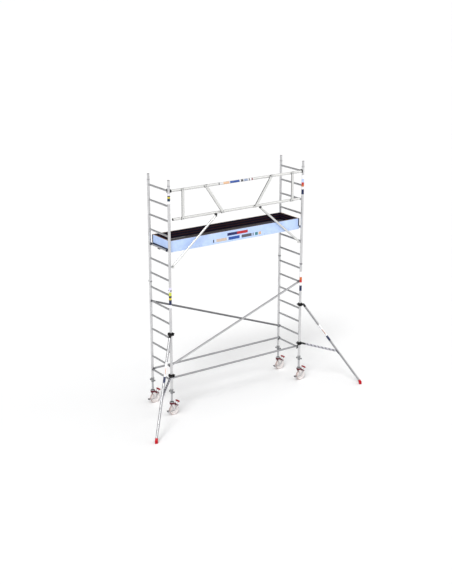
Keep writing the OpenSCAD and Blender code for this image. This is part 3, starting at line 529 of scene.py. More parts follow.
FINISH = {
    "upright": metal("upright_tube", "d6d6d7", "a6a6a9", ALONG_Z, 0.8, 0.26, 0.42),
    # painted shade: the rung's second colour is shade in its grooves
    "rung": fluted_metal("ribbed_rung", "d8d8d9", "8c8d90", 5.0, 26.0),
    "spigot": metal("spigot_tube", "d2d2d3", "9fa0a3", ALONG_Z, 0.8, 0.25, 0.4),
    "brace": metal("brace_tube", "a4a4a7", "78787b", ALONG_X, 0.8, 0.28, 0.45),
    "front_slant": metal("front_slant_tube", "c2c2c4", "929295", ALONG_X, 0.75, 0.28, 0.45),
    # painted shade: the rear diagonal is the same tube as the front one, in a darker colour that stands for the
    # shade on it
    "rear_slant_shaded": metal("rear_slant_tube", "747477", "4c4c4f", ALONG_X, 0.8, 0.3, 0.48),
    "rail": metal("rail_tube", "dededc", "bfbfbe", ALONG_X, 0.7, 0.24, 0.4),
    "strut": metal("strut_tube", "b2b2b4", "848487", ALONG_Z, 0.75, 0.26, 0.42),
    # painted shade: the arm's second colour is shade in the troughs of its bands
    "arm": wound_metal("ribbed_arm", "c6c5cb", "5c5b64", 75 * MM),
    "cast": metal("cast_claw", "6f7074", "414246", EVENLY, 0.6, 0.42, 0.62),
    "plated": metal("plated_steel", "b4b5b7", "7b7d80", EVENLY, 0.9, 0.22, 0.4),
    "screw": metal("screw_steel", "7d7f83", "47494d", EVENLY, 0.9, 0.25, 0.45),
    "thread": metal("screw_leg", "c2c3c5", "8d8e91", ALONG_Z, 0.75, 0.3, 0.45, dusty=0.2),
    "nut": metal("cast_nut", "9c9d9f", "6a6b6e", EVENLY, 0.7, 0.38, 0.58, dusty=0.2),
    "weld": metal("weld_bead", "b5b5b7", "7f8083", EVENLY, 0.8, 0.35, 0.55),
    "beam": coated("side_beam_film", "c2d6f7", "b0c7ef", 0.36, 300.0, 0.3, "8da3c9", 0.2),
    "navy": coated("navy_paint", "1b2340", "0d1226", 0.42),
    "hook": coated("hook_paint", "20263a", "0e1220", 0.42),
    "black": coated("black_coat", "0e0e10", "050506", 0.42, worn=0.35, worn_to="5c5c60"),
    "plastic": coated("dark_plastic", "1c1c21", "0c0c0f", 0.5),
    "red": coated("pedal_red", "a80414", "780310", 0.4, 400.0, 0.2, "3c060c"),
    "maroon": coated("maroon_paint", "6e1024", "440a16", 0.4, worn=0.4),
    "foot": rubber("red_rubber", "cc0a22", "8e0a1a"),
    "nylon": rubber("pale_nylon", "f0ebe8", "dad2ce", 0.5),
    "grip": rubber("black_rubber", "1c1b1d", "0d0c0e", 0.65),
    "handgrip": rubber("grey_rubber", "4c4d50", "2b2c2e", 0.6),
}


def dress(finish, *names):
    """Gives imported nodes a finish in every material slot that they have."""
    for name in names:
        node = NODES[name]
        if not node.material_slots:
            node.data.materials.append(None)
        for place in node.material_slots:
            place.link = "OBJECT"
            place.material = FINISH[finish]


def dress_parts():
    for side in SIDES:
        dress("upright", f"lower_{side}_frame", f"upper_{side}_frame")
        dress("rail", f"guardrail_leg_{side}")
        dress("strut", f"stabilizer_{side}_strut")
        dress("arm", f"stabilizer_{side}_arm")
        dress("foot", f"stabilizer_{side}_foot")
        dress("black", f"stabilizer_{side}_couplers")
        dress("plastic", f"wind_lock_{side}")
    for place in ("front", "rear"):
        dress("brace", f"{place}_horizontal_brace")
    dress("front_slant", "front_diagonal_brace")
    dress("rear_slant_shaded", "rear_diagonal_brace")
    dress("spigot", "frame_spigots")
    dress("screw", "frame_locking_clips")
    dress("cast", "brace_claws")
    dress("beam", "platform_side_beams")
    dress("navy", "platform_cross_beams", "toe_board_corner_clips")
    dress("hook", "platform_hooks")
    dress("plated", "trapdoor_hinge", "trapdoor_handle")
    dress("rail", "guardrail_top_rail", "guardrail_knee_rail", "guardrail_posts")
    dress("black", "guardrail_end_claws", "guardrail_leg_brackets")

    deck_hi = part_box("platform_deck")[1]
    FINISH["deck"] = film_faced_board("deck_board", "050304", "100a0d", "9b7650", deck_hi.z + 0.2 * MM)
    dress("deck", "platform_deck", "trapdoor")
    outside, inside = ("c6d9fa", "aac3f0"), ("14182c", "0b0d1a")
    for name, across, outer in (
        ("front", "Y", -1), ("back", "Y", 1), ("left", "X", -1), ("right", "X", 1),
    ):
        node = f"toe_board_{name}"
        centre = middle(node).y if across == "Y" else middle(node).x
        FINISH[node] = board_paint(node + "_paint", across, centre, outer, outside, inside)
        dress(node, node)

    fork_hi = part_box("castor_fork_front_left")[1]
    brake_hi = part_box("castor_brake_front_left")[1]
    head_h, pedal_h = 31 * MM, 40 * MM
    FINISH["fork"] = two_tone("fork", ("e9e5e4", "c9c5c5"), ("6e1024", "440a16"), fork_hi.z - head_h, 0.25)
    FINISH["brake"] = two_tone("brake", ("c9c8ca", "9d9c9f"), ("b00414", "7a020e"), brake_hi.z - pedal_h)
    FINISH["wheel"] = wheel_nylon("wheel_nylon", ("ece8e7", "cdc7c5"), ("cfbdb9", "927f7a"),
                                  middle("castor_wheel_front_right"), 90 * MM)
    for corner in CORNERS:
        dress("thread", f"castor_leg_{corner}")
        dress("nut", f"adjusting_nut_{corner}")
        dress("fork", f"castor_fork_{corner}")
        dress("wheel", f"castor_wheel_{corner}")
        dress("brake", f"castor_brake_{corner}")


dress_parts()


# ---------- solids made point by point ----------

def frame_of(axis, towards=None):
    """Two unit vectors square to an axis; the first leans to towards when given."""
    axis = axis.normalized()
    lean = towards if towards is not None else (X if abs(axis.x) < 0.9 else Y)
    first = (lean - axis * lean.dot(axis)).normalized()
    return first, axis.cross(first)


def turned(profile, foot, axis, steps=32):
    """A solid of revolution from (radius, height) points; ends at radius 0 close to a point."""
    first, second = frame_of(axis)
    axis = axis.normalized()
    points, rows = [], []
    for radius, height in profile:
        if radius < 1e-7:
            rows.append([len(points)])
            points.append(foot + axis * height)
            continue
        rows.append([len(points) + i for i in range(steps)])
        for i in range(steps):
            angle = math.tau * i / steps
            spoke = first * math.cos(angle) + second * math.sin(angle)
            points.append(foot + axis * height + spoke * radius)
    faces = []
    pairs = list(zip(rows, rows[1:]))
    if len(rows[0]) > 1:
        pairs.append((rows[-1], rows[0]))
    for a, b in pairs:
        for i in range(steps):
            j = (i + 1) % steps
            face = [a[i % len(a)], a[j % len(a)], b[j % len(b)], b[i % len(b)]]
            face = list(dict.fromkeys(face))
            if len(face) > 2:
                faces.append(face)
    return points, faces


def ring(inner, outer, low, high, foot, axis, steps=32, soft=0.6 * MM):
    """A collar with softened edges."""
    soft = min(soft, (outer - inner) / 3, abs(high - low) / 3)
    profile = [
        (inner, low), (outer - soft, low), (outer, low + soft),
        (outer, high - soft), (outer - soft, high), (inner, high),
    ]
    return turned(profile, foot, axis, steps)


def capped(profile, foot, axis, steps=24):
    """A turned solid whose profile starts and ends on its axis."""
    return turned([(0, profile[0][1]), *profile, (0, profile[-1][1])], foot, axis, steps)


def block(size, centre, soft=1 * MM, along=X, up=Z):
    """A box with rounded edges, its length along one axis and its height near another."""
    mesh = bmesh.new()
    bmesh.ops.create_cube(mesh, size=1)
    bmesh.ops.scale(mesh, vec=size, verts=mesh.verts)
    soft = min(soft, min(size) / 3)
    bmesh.ops.bevel(mesh, geom=mesh.edges[:], offset=soft, segments=2, affect="EDGES", profile=0.5)
    top, side = frame_of(along, up)
    turn = Matrix((along.normalized(), -side, top)).transposed().to_4x4()
    if turn.determinant() < 0:
        turn = Matrix((along.normalized(), side, top)).transposed().to_4x4()
    bmesh.ops.transform(mesh, matrix=Matrix.Translation(centre) @ turn, verts=mesh.verts)
    mesh.verts.ensure_lookup_table()
    points = [v.co.copy() for v in mesh.verts]
    faces = [[v.index for v in f.verts] for f in mesh.faces]
    mesh.free()
    return points, faces


def arch(inner, outer, half_width, hub, start, end, steps=16):
    """A curved plate over a wheel, from one angle about its axle to another."""
    section = ((inner, -half_width), (inner, half_width), (outer, half_width), (outer, -half_width))
    points, faces = [], []
    for i in range(steps + 1):
        angle = start + (end - start) * i / steps
        spoke = Vector((math.cos(angle), 0, math.sin(angle)))
        points += [hub + spoke * radius + Y * y for radius, y in section]
    for i in range(steps):
        for j in range(4):
            a, b = 4 * i + j, 4 * i + (j + 1) % 4
            faces.append([a, b, b + 4, a + 4])
    faces += [[3, 2, 1, 0], [4 * steps + j for j in range(4)]]
    return points, faces


def bent_bar(path, radius, steps=10):
    """A round bar along a list of points, closed at both ends."""
    points, faces = [], []
    ahead = [(b - a).normalized() for a, b in zip(path, path[1:])]
    ahead = [ahead[0], *[(a + b).normalized() for a, b in zip(ahead, ahead[1:])], ahead[-1]]
    first, _ = frame_of(ahead[0])
    for place, tangent in zip(path, ahead):
        first = (first - tangent * first.dot(tangent)).normalized()
        second = tangent.cross(first)
        for i in range(steps):
            angle = math.tau * i / steps
            points.append(place + (first * math.cos(angle) + second * math.sin(angle)) * radius)
    for row in range(len(path) - 1):
        for i in range(steps):
            j = (i + 1) % steps
            faces.append([row * steps + i, row * steps + j, (row + 1) * steps + j, (row + 1) * steps + i])
    faces.append(list(range(steps))[::-1])
    faces.append([(len(path) - 1) * steps + i for i in range(steps)])
    return points, faces


def piece(name, parts, finish, body, sharp=35.0):
    """Gathers solids into one object that rides a body."""
    points, faces = [], []
    for some_points, some_faces in parts:
        base = len(points)
        points += some_points
        faces += [[base + i for i in face] for face in some_faces]
    mesh = bpy.data.meshes.new(name)
    mesh.from_pydata(points, [], faces)
    work = bmesh.new()
    work.from_mesh(mesh)
    bmesh.ops.remove_doubles(work, verts=work.verts, dist=1e-6)
    bmesh.ops.recalc_face_normals(work, faces=work.faces)
    work.to_mesh(mesh)
    work.free()
    return place_piece(name, mesh, FINISH[finish], body, sharp)


def place_piece(name, mesh, material, body, sharp=35.0):
    mesh.name = name
    if material is not None:
        mesh.materials.clear()
        mesh.materials.append(material)
    mesh.shade_smooth()
    mesh.set_sharp_from_angle(angle=math.radians(sharp))
    thing = bpy.data.objects.new(name, mesh)
    bpy.context.scene.collection.objects.link(thing)
    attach(thing, body)
    return thing


# ---------- stickers: thin printed films, with no lettering ----------

FILM = 0.25 * MM


def wrapped_film(foot, axis, facing, radius, length, half_angle, steps=14):
    """A film bent round a tube; the first number of its UV runs along the tube."""
    first, second = frame_of(axis, facing)
    axis = axis.normalized()
    points, faces, along = [], [], []
    for share in (0.0, 1.0):
        for level in (radius, radius + FILM):
            for i in range(steps + 1):
                angle = half_angle * (2 * i / steps - 1)
                spoke = first * math.cos(angle) + second * math.sin(angle)
                points.append(foot + axis * (length * share) + spoke * level)
                along.append((share, i / steps))
    row = steps + 1
    bottom_in, bottom_out, top_in, top_out = 0, row, 2 * row, 3 * row
    for i in range(steps):
        faces.append([bottom_out + i, bottom_out + i + 1, top_out + i + 1, top_out + i])
        faces.append([bottom_in + i + 1, bottom_in + i, top_in + i, top_in + i + 1])
        faces.append([bottom_in + i, bottom_in + i + 1, bottom_out + i + 1, bottom_out + i])
        faces.append([top_out + i, top_out + i + 1, top_in + i + 1, top_in + i])
    for i, flip in ((0, False), (steps, True)):
        face = [bottom_in + i, bottom_out + i, top_out + i, top_in + i]
        faces.append(face[::-1] if flip else face)
    return points, faces, along


def flat_film(corner, along_edge, up_edge):
    """A flat film from its lower corner; its face looks along up_edge x along_edge turned outwards."""
    out = along_edge.cross(up_edge).normalized() * FILM
    points, along = [], []
    for share, rise in ((0, 0), (1, 0), (1, 1), (0, 1)):
        for depth in (0, 1):
            points.append(corner + along_edge * share + up_edge * rise + out * depth)
            along.append((share, rise))
    faces = [[0, 6, 4, 2], [1, 3, 5, 7], [0, 2, 3, 1], [2, 4, 5, 3], [4, 6, 7, 5], [6, 0, 1, 7]]
    return points, faces, along


def film_piece(name, shape, bands, body):
    points, faces, along = shape
    mesh = bpy.data.meshes.new(name)
    mesh.from_pydata(points, [], faces)
    layer = mesh.uv_layers.new(name="along")
    for loop in mesh.loops:
        layer.data[loop.index].uv = along[loop.vertex_index]
    work = bmesh.new()
    work.from_mesh(mesh)
    bmesh.ops.recalc_face_normals(work, faces=work.faces)
    work.to_mesh(mesh)
    work.free()
    return place_piece(name, mesh, printed_film(name + "_print", bands), body)


# ---------- geometry node trees ----------

class Tree:
    """A geometry node tree with named inputs."""

    def __init__(self, name, inputs):
        self.tree = bpy.data.node_groups.new(name, "GeometryNodeTree")
        face = self.tree.interface
        face.new_socket("Geometry", in_out="INPUT", socket_type="NodeSocketGeometry")
        for label, kind, value in inputs:
            socket = face.new_socket(label, in_out="INPUT", socket_type=kind)
            if value is not None:
                socket.default_value = value
        face.new_socket("Geometry", in_out="OUTPUT", socket_type="NodeSocketGeometry")
        self.given = self.tree.nodes.new("NodeGroupInput").outputs
        self.result = self.tree.nodes.new("NodeGroupOutput")

    def node(self, kind, settings=None, values=None):
        return add(self.tree, kind, settings, values)

    def math(self, operation, a, b=0.0):
        return math_node(self.tree, operation, a, b)

    def moved(self, mesh, shift=None, turn=None, stretch=None):
        values = {"Geometry": mesh}
        if shift is not None:
            values["Translation"] = shift
        if turn is not None:
            values["Rotation"] = turn
        if stretch is not None:
            values["Scale"] = stretch
        return self.node("GeometryNodeTransform", None, values).outputs[0]

    def xyz(self, x=0.0, y=0.0, z=0.0):
        return self.node("ShaderNodeCombineXYZ", None, {0: x, 1: y, 2: z}).outputs[0]

    def joined(self, *meshes):
        join = self.node("GeometryNodeJoinGeometry")
        for mesh in meshes:
            self.tree.links.new(mesh, join.inputs[0])
        return join.outputs[0]

    def on_points(self, instance):
        """The instance on each seed point, with its Z along the point's facing."""
        facing = self.node("GeometryNodeInputNamedAttribute", {"data_type": "FLOAT_VECTOR"}, {"Name": "facing"})
        turn = self.node("FunctionNodeAlignRotationToVector", {"axis": "Z"}, {"Vector": facing.outputs[0]})
        return self.node("GeometryNodeInstanceOnPoints", None, {
            "Points": self.given["Geometry"], "Instance": instance, "Rotation": turn.outputs[0],
        }).outputs[0]

    def close(self, geometry):
        real = self.node("GeometryNodeRealizeInstances", None, {"Geometry": geometry})
        done = self.node("GeometryNodeSetMaterial", None,
                         {"Geometry": real.outputs[0], "Material": self.given["Material"]})
        self.tree.links.new(done.outputs[0], self.result.inputs[0])
        return self.tree


LENGTH, WHOLE, MATERIAL = "NodeSocketFloat", "NodeSocketInt", "NodeSocketMaterial"


def rivet_tree():
    """A domed head on each point."""
    t = Tree("rivets", [("Radius", LENGTH, 4 * MM), ("Height", LENGTH, 2 * MM), ("Sides", WHOLE, 12),
                        ("Material", MATERIAL, None)])
    ball = t.node("GeometryNodeMeshUVSphere", None,
                  {"Segments": t.given["Sides"], "Rings": 8, "Radius": t.given["Radius"]}).outputs[0]
    flat = t.math("DIVIDE", t.given["Height"], t.given["Radius"])
    return t.close(t.on_points(t.moved(ball, stretch=t.xyz(1.0, 1.0, flat))))


def bolt_tree():
    """A washer under a six-sided head, on each point."""
    t = Tree("bolts", [("Radius", LENGTH, 6 * MM), ("Height", LENGTH, 5 * MM), ("Washer", LENGTH, 9 * MM),
                       ("Washer Height", LENGTH, 1.5 * MM), ("Material", MATERIAL, None)])
    thin = t.given["Washer Height"]
    washer = t.node("GeometryNodeMeshCylinder", None,
                    {"Vertices": 20, "Radius": t.given["Washer"], "Depth": thin}).outputs[0]
    washer = t.moved(washer, shift=t.xyz(z=t.math("MULTIPLY", thin, 0.5)))
    head = t.node("GeometryNodeMeshCylinder", None,
                  {"Vertices": 6, "Radius": t.given["Radius"], "Depth": t.given["Height"]}).outputs[0]
    rise = t.math("ADD", thin, t.math("MULTIPLY", t.given["Height"], 0.5))
    head = t.moved(head, shift=t.xyz(z=rise))
    round_r = t.math("MULTIPLY", t.given["Radius"], 0.72)
    dome = t.node("GeometryNodeMeshUVSphere", None,
                  {"Segments": 14, "Rings": 8, "Radius": round_r}).outputs[0]
    top = t.math("ADD", thin, t.given["Height"])
    dome = t.moved(dome, shift=t.xyz(z=top), stretch=t.xyz(1.0, 1.0, 0.35))
    return t.close(t.on_points(t.joined(washer, head, dome)))


def fluted_tree():
    """Ribs that wind slowly along each edge of the seed mesh, as on a non-slip rung."""
    t = Tree("flutes", [("Radius", LENGTH, RUNG_R), ("Depth", LENGTH, 0.7 * MM), ("Flutes", WHOLE, 20),
                        ("Twist", LENGTH, 3.0), ("Rings", WHOLE, 24), ("Material", MATERIAL, None)])
    line = t.node("GeometryNodeMeshToCurve", None, {"Mesh": t.given["Geometry"]}).outputs[0]
    line = t.node("GeometryNodeResampleCurve", None, {"Curve": line, "Count": t.given["Rings"]}).outputs[0]
    share = t.node("GeometryNodeSplineParameter").outputs["Factor"]
    tilt = t.math("MULTIPLY", share, t.given["Twist"])
    line = t.node("GeometryNodeSetCurveTilt", None, {"Curve": line, "Tilt": tilt}).outputs[0]
    corners = t.math("MULTIPLY", t.given["Flutes"], 3.0)
    circle = t.node("GeometryNodeCurvePrimitiveCircle", None,
                    {"Resolution": corners, "Radius": t.given["Radius"]}).outputs[0]
    turn = t.math("MODULO", t.node("GeometryNodeInputIndex").outputs[0], 3.0)
    proud = t.math("MULTIPLY", t.math("GREATER_THAN", turn, 0.5), t.given["Depth"])
    grow = t.math("ADD", 1.0, t.math("DIVIDE", proud, t.given["Radius"]))
    spot = t.node("GeometryNodeInputPosition").outputs[0]
    spot = t.node("ShaderNodeVectorMath", {"operation": "SCALE"}, {0: spot, "Scale": grow}).outputs[0]
    star = t.node("GeometryNodeSetPosition", None, {"Geometry": circle, "Position": spot}).outputs[0]
    tube = t.node("GeometryNodeCurveToMesh", None,
                  {"Curve": line, "Profile Curve": star, "Fill Caps": True}).outputs[0]
    return t.close(tube)


def weld_tree():
    """A rippled bead where a rung meets an upright, on each point; the rung runs along facing."""
    t = Tree("welds", [("Rung", LENGTH, RUNG_R), ("Upright", LENGTH, UPRIGHT_R), ("Bead", LENGTH, 2.2 * MM),
                       ("Material", MATERIAL, None)])
    circle = t.node("GeometryNodeCurvePrimitiveCircle", None,
                    {"Resolution": 36, "Radius": t.given["Rung"]}).outputs[0]
    spot = t.node("ShaderNodeSeparateXYZ", None, {0: t.node("GeometryNodeInputPosition").outputs[0]}).outputs
    wide = t.math("MULTIPLY", t.given["Upright"], t.given["Upright"])
    depth = t.math("SQRT", t.math("SUBTRACT", wide, t.math("MULTIPLY", spot["Y"], spot["Y"])))
    saddle = t.node("GeometryNodeSetPosition", None, {
        "Geometry": circle, "Position": t.xyz(spot["X"], spot["Y"], depth),
    }).outputs[0]
    ripple = t.math("MODULO", t.node("GeometryNodeInputIndex").outputs[0], 2.0)
    swell = t.math("ADD", 0.85, t.math("MULTIPLY", ripple, 0.3))
    saddle = t.node("GeometryNodeSetCurveRadius", None, {"Curve": saddle, "Radius": swell}).outputs[0]
    profile = t.node("GeometryNodeCurvePrimitiveCircle", None,
                     {"Resolution": 6, "Radius": t.given["Bead"]}).outputs[0]
    values = {"Curve": saddle, "Profile Curve": profile}
    bead = t.node("GeometryNodeCurveToMesh", None, values)
    if "Scale" in bead.inputs:
        t.tree.links.new(swell, bead.inputs["Scale"])
    return t.close(t.on_points(bead.outputs[0]))


def thread_tree():
    """A raised helical ridge up from each point."""
    t = Tree("threads", [("Radius", LENGTH, 19 * MM), ("Ridge", LENGTH, 1.3 * MM), ("Pitch", LENGTH, 10 * MM),
                         ("Length", LENGTH, 0.5), ("Material", MATERIAL, None)])
    turns = t.math("DIVIDE", t.given["Length"], t.given["Pitch"])
    coil = t.node("GeometryNodeCurveSpiral", None, {
        "Resolution": 22, "Rotations": turns, "Start Radius": t.given["Radius"],
        "End Radius": t.given["Radius"], "Height": t.given["Length"],
    }).outputs[0]
    profile = t.node("GeometryNodeCurvePrimitiveCircle", None,
                     {"Resolution": 6, "Radius": t.given["Ridge"]}).outputs[0]
    ridge = t.node("GeometryNodeCurveToMesh", None,
                   {"Curve": coil, "Profile Curve": profile, "Fill Caps": True}).outputs[0]
    return t.close(t.on_points(ridge))


def bar_tree():
    """A small bar on each point, with its length along the Z axis of the tower."""
    t = Tree("bars", [("Size", "NodeSocketVector", (2 * MM, 3 * MM, 20 * MM)), ("Material", MATERIAL, None)])
    bar = t.node("GeometryNodeMeshCube", None, {"Size": t.given["Size"]}).outputs[0]
    facing = t.node("GeometryNodeInputNamedAttribute", {"data_type": "FLOAT_VECTOR"}, {"Name": "facing"})
    turn = t.node("FunctionNodeAlignRotationToVector", {"axis": "X", "pivot_axis": "Z"},
                  {"Vector": facing.outputs[0]})
    placed = t.node("GeometryNodeInstanceOnPoints", None, {
        "Points": t.given["Geometry"], "Instance": bar, "Rotation": turn.outputs[0],
    }).outputs[0]
    return t.close(placed)


TREES = {
    "rivets": rivet_tree(), "bolts": bolt_tree(), "flutes": fluted_tree(), "welds": weld_tree(),
    "threads": thread_tree(), "bars": bar_tree(),
}


def grown(name, tree_name, seeds, finish, body, slot=None, sharp=35.0, edges=(), **sizes):
    """Runs a tree on seed points (place, facing) or edges, and keeps the result as a plain mesh."""
    tree = TREES[tree_name]
    mesh = bpy.data.meshes.new(name + "_seeds")
    mesh.from_pydata([place for place, _ in seeds], list(edges), [])
    facing = mesh.attributes.new("facing", "FLOAT_VECTOR", "POINT")
    for i, (_, direction) in enumerate(seeds):
        facing.data[i].vector = direction
    seed = bpy.data.objects.new(name + "_seeds", mesh)
    bpy.context.scene.collection.objects.link(seed)
    modifier = seed.modifiers.new("grow", "NODES")
    modifier.node_group = tree
    sizes["Material"] = FINISH[finish]
    for item in tree.interface.items_tree:
        if item.in_out == "INPUT" and item.name.replace(" ", "_") in sizes:
            modifier[item.identifier] = sizes[item.name.replace(" ", "_")]
    result = bpy.data.meshes.new_from_object(seed.evaluated_get(bpy.context.evaluated_depsgraph_get()))
    seed.modifiers.remove(modifier)
    bpy.data.objects.remove(seed)
    for extra in [a.name for a in result.attributes if a.name == "facing"]:
        result.attributes.remove(result.attributes[extra])
    return place_piece(name, result, None, body, sharp)


# ---------- end frames ----------

def rung_spots():
    """Each rung's side, number and height."""
    return [(side, k, rung_z(k)) for side in SIDES for k in range(1, 2 * RUNGS_EACH + 1)]


def detail_frames():
    clear = UPRIGHT_R + 5 * MM
    for level, name in ((0, "lower"), (1, "upper")):
        seeds, edges, beads = [], [], []
        for side, k, height in rung_spots():
            if (k > RUNGS_EACH) != bool(level):
                continue
            edges.append((len(seeds), len(seeds) + 1))
            seeds.append((Vector((END_X[side], FRONT_Y + clear, height)), Y))
            seeds.append((Vector((END_X[side], BACK_Y - clear, height)), Y))
            beads.append((Vector((END_X[side], FRONT_Y, height)), Y))
            beads.append((Vector((END_X[side], BACK_Y, height)), -Y))
        grown(f"rung_ribs_{name}", "flutes", seeds, "rung", "tower", "frame_tube", 20, edges,
              Radius=RUNG_R + 0.05 * MM, Depth=0.65 * MM, Flutes=18, Twist=4.0, Rings=26)
        grown(f"rung_welds_{name}", "welds", beads, "weld", "tower", "frame_tube", 60,
              Rung=RUNG_R + 0.6 * MM, Upright=UPRIGHT_R + 0.5 * MM, Bead=2.1 * MM)

    rivets = []
    for side in SIDES:
        for depth in ("front", "back"):
            foot = upright(side, depth)
            for height in (upper_lo.z - 45 * MM, upper_hi.z - 45 * MM, upper_hi.z - 90 * MM):
                for facing in (X, -X):
                    rivets.append((foot + facing * UPRIGHT_R + Z * height, facing))
    grown("frame_rivets", "rivets", rivets, "screw", "tower", "spigot", Radius=4.2 * MM, Height=1.8 * MM)

    collars = []
    for side in SIDES:
        for depth in ("front", "back"):
            foot = upright(side, depth)
            for height in (frame_lo.z, upper_hi.z - 16 * MM):
                collars.append(ring(UPRIGHT_R, UPRIGHT_R + 1.4 * MM, height, height + 16 * MM, foot, Z))
    piece("frame_end_collars", collars, "weld", "tower")

    # painted shade: a dark plug a little way down each spigot's open top, and a dark ring on its rim, stand for
    # the shade inside the hollow tube
    mouth_shades = []
    spigot_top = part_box("frame_spigots")[1].z
    for side in SIDES:
        for depth in ("front", "back"):
            foot = upright(side, depth) + Z * spigot_top
            mouth_shades.append(capped([(20.9 * MM, -14 * MM), (20.9 * MM, -6 * MM)], foot, Z, 28))
            mouth_shades.append(ring(20.9 * MM, 23.2 * MM, -1.5 * MM, 0.3 * MM, foot, Z, 28, 0.3 * MM))
    piece("spigot_mouths", mouth_shades, "grip", "tower")

    pins = []
    lug_lean = math.radians(55)
    for side, sign in SIDES.items():
        for depth in ("front", "back"):
            out = Vector((math.cos(lug_lean) * sign, math.sin(lug_lean), 0))
            foot = upright(side, depth) + Z * upper_lo.z
            start = foot + out * (UPRIGHT_R + 9 * MM)
            pins.append(capped([(3 * MM, -11 * MM), (3 * MM, 9 * MM), (5 * MM, 9.5 * MM), (5 * MM, 12 * MM)],
                               start, Z, 16))
            pins.append(bent_bar([start + Z * 11 * MM, start + Z * 20 * MM + out * 4 * MM,
                                  start + Z * 22 * MM + out * 12 * MM], 2 * MM, 8))
    piece("frame_clip_pins", pins, "plated", "tower")


# ---------- braces ----------

CLAW_W = 34 * MM
CLAW_LANE = UPRIGHT_R + 2 * MM + CLAW_W / 2
CLAW_R = 24.3 * MM
CLAW_NECK = 14 * MM
DIAGONAL_LOW, DIAGONAL_HIGH = 2, 6
BRACE_LIFT = 30 * MM
BRACE_R = 19 * MM


def claw_places():
    """Each claw's rung point, the way that its brace leaves, and the height of the brace over the rung."""
    front, back = FRONT_Y + CLAW_LANE, BACK_Y - CLAW_LANE
    bay = END_X["right"] - END_X["left"]
    rise = rung_z(DIAGONAL_HIGH) - rung_z(DIAGONAL_LOW)
    found = []
    for side in SIDES:
        for y in (front, back):
            found.append((Vector((END_X[side], y, rung_z(1))), inward(side), BRACE_LIFT))
    for side, y, low in (("left", front, True), ("right", front, False),
                         ("right", back, True), ("left", back, False)):
        k = DIAGONAL_LOW if low else DIAGONAL_HIGH
        ahead = inward(side) * bay + Z * (rise if low else -rise)
        found.append((Vector((END_X[side], y, rung_z(k))), ahead.normalized(), 0.0))
    return found


def detail_braces():
    rivets, collars, levers, springs = [], [], [], []
    for spot, ahead, lift in claw_places():
        up = ahead.cross(Y)
        if up.z < 0:
            up = -up
        axis_spot = spot + up * lift
        mouth = axis_spot + ahead * (CLAW_R + CLAW_NECK)
        collars.append(ring(BRACE_R - 1 * MM, BRACE_R + 1.6 * MM, -2 * MM, 20 * MM, mouth, ahead))
        collars.append(ring(BRACE_R - 1 * MM, BRACE_R + 0.9 * MM, 24 * MM, 30 * MM, mouth, ahead))
        for face in (Y, -Y):
            rivets.append((spot + up * 15 * MM + face * CLAW_W / 2, face))
            rivets.append((mouth - ahead * 4 * MM + face * (BRACE_R - 2 * MM), face))
        flat = ahead - Z * ahead.z
        flat.normalize()
        hinge = spot + flat * (CLAW_R - 2 * MM) - Z * 2 * MM
        levers.append(block((34 * MM, 20 * MM, 5 * MM), hinge - Z * 10 * MM, 1.5 * MM, flat - Z * 1.9, Y))
        levers.append(capped([(4.5 * MM, -14 * MM), (4.5 * MM, 14 * MM)], hinge + Z * 4 * MM, Y, 14))
        springs.append(bent_bar([hinge - Y * 11 * MM, hinge - Y * 13 * MM - Z * 12 * MM,
                                 hinge - Y * 9 * MM - Z * 22 * MM], 1.2 * MM, 6))
    grown("brace_claw_rivets", "rivets", rivets, "screw", "tower", "brace_claw",
          Radius=4.5 * MM, Height=2.2 * MM)
    piece("brace_claw_collars", collars, "plated", "tower")
    piece("brace_claw_levers", levers, "plastic", "tower")
    piece("brace_claw_springs", springs, "screw", "tower")


# ---------- platform ----------

def spaced(start, stop, pitch):
    """Evenly spaced values that take in both ends, about pitch apart."""
    count = max(1, round((stop - start) / pitch))
    return [start + (stop - start) * i / count for i in range(count + 1)]


CROSS_BEAM_X = (-0.85, -0.1, 0.65)
HOOK_Y = 278 * MM


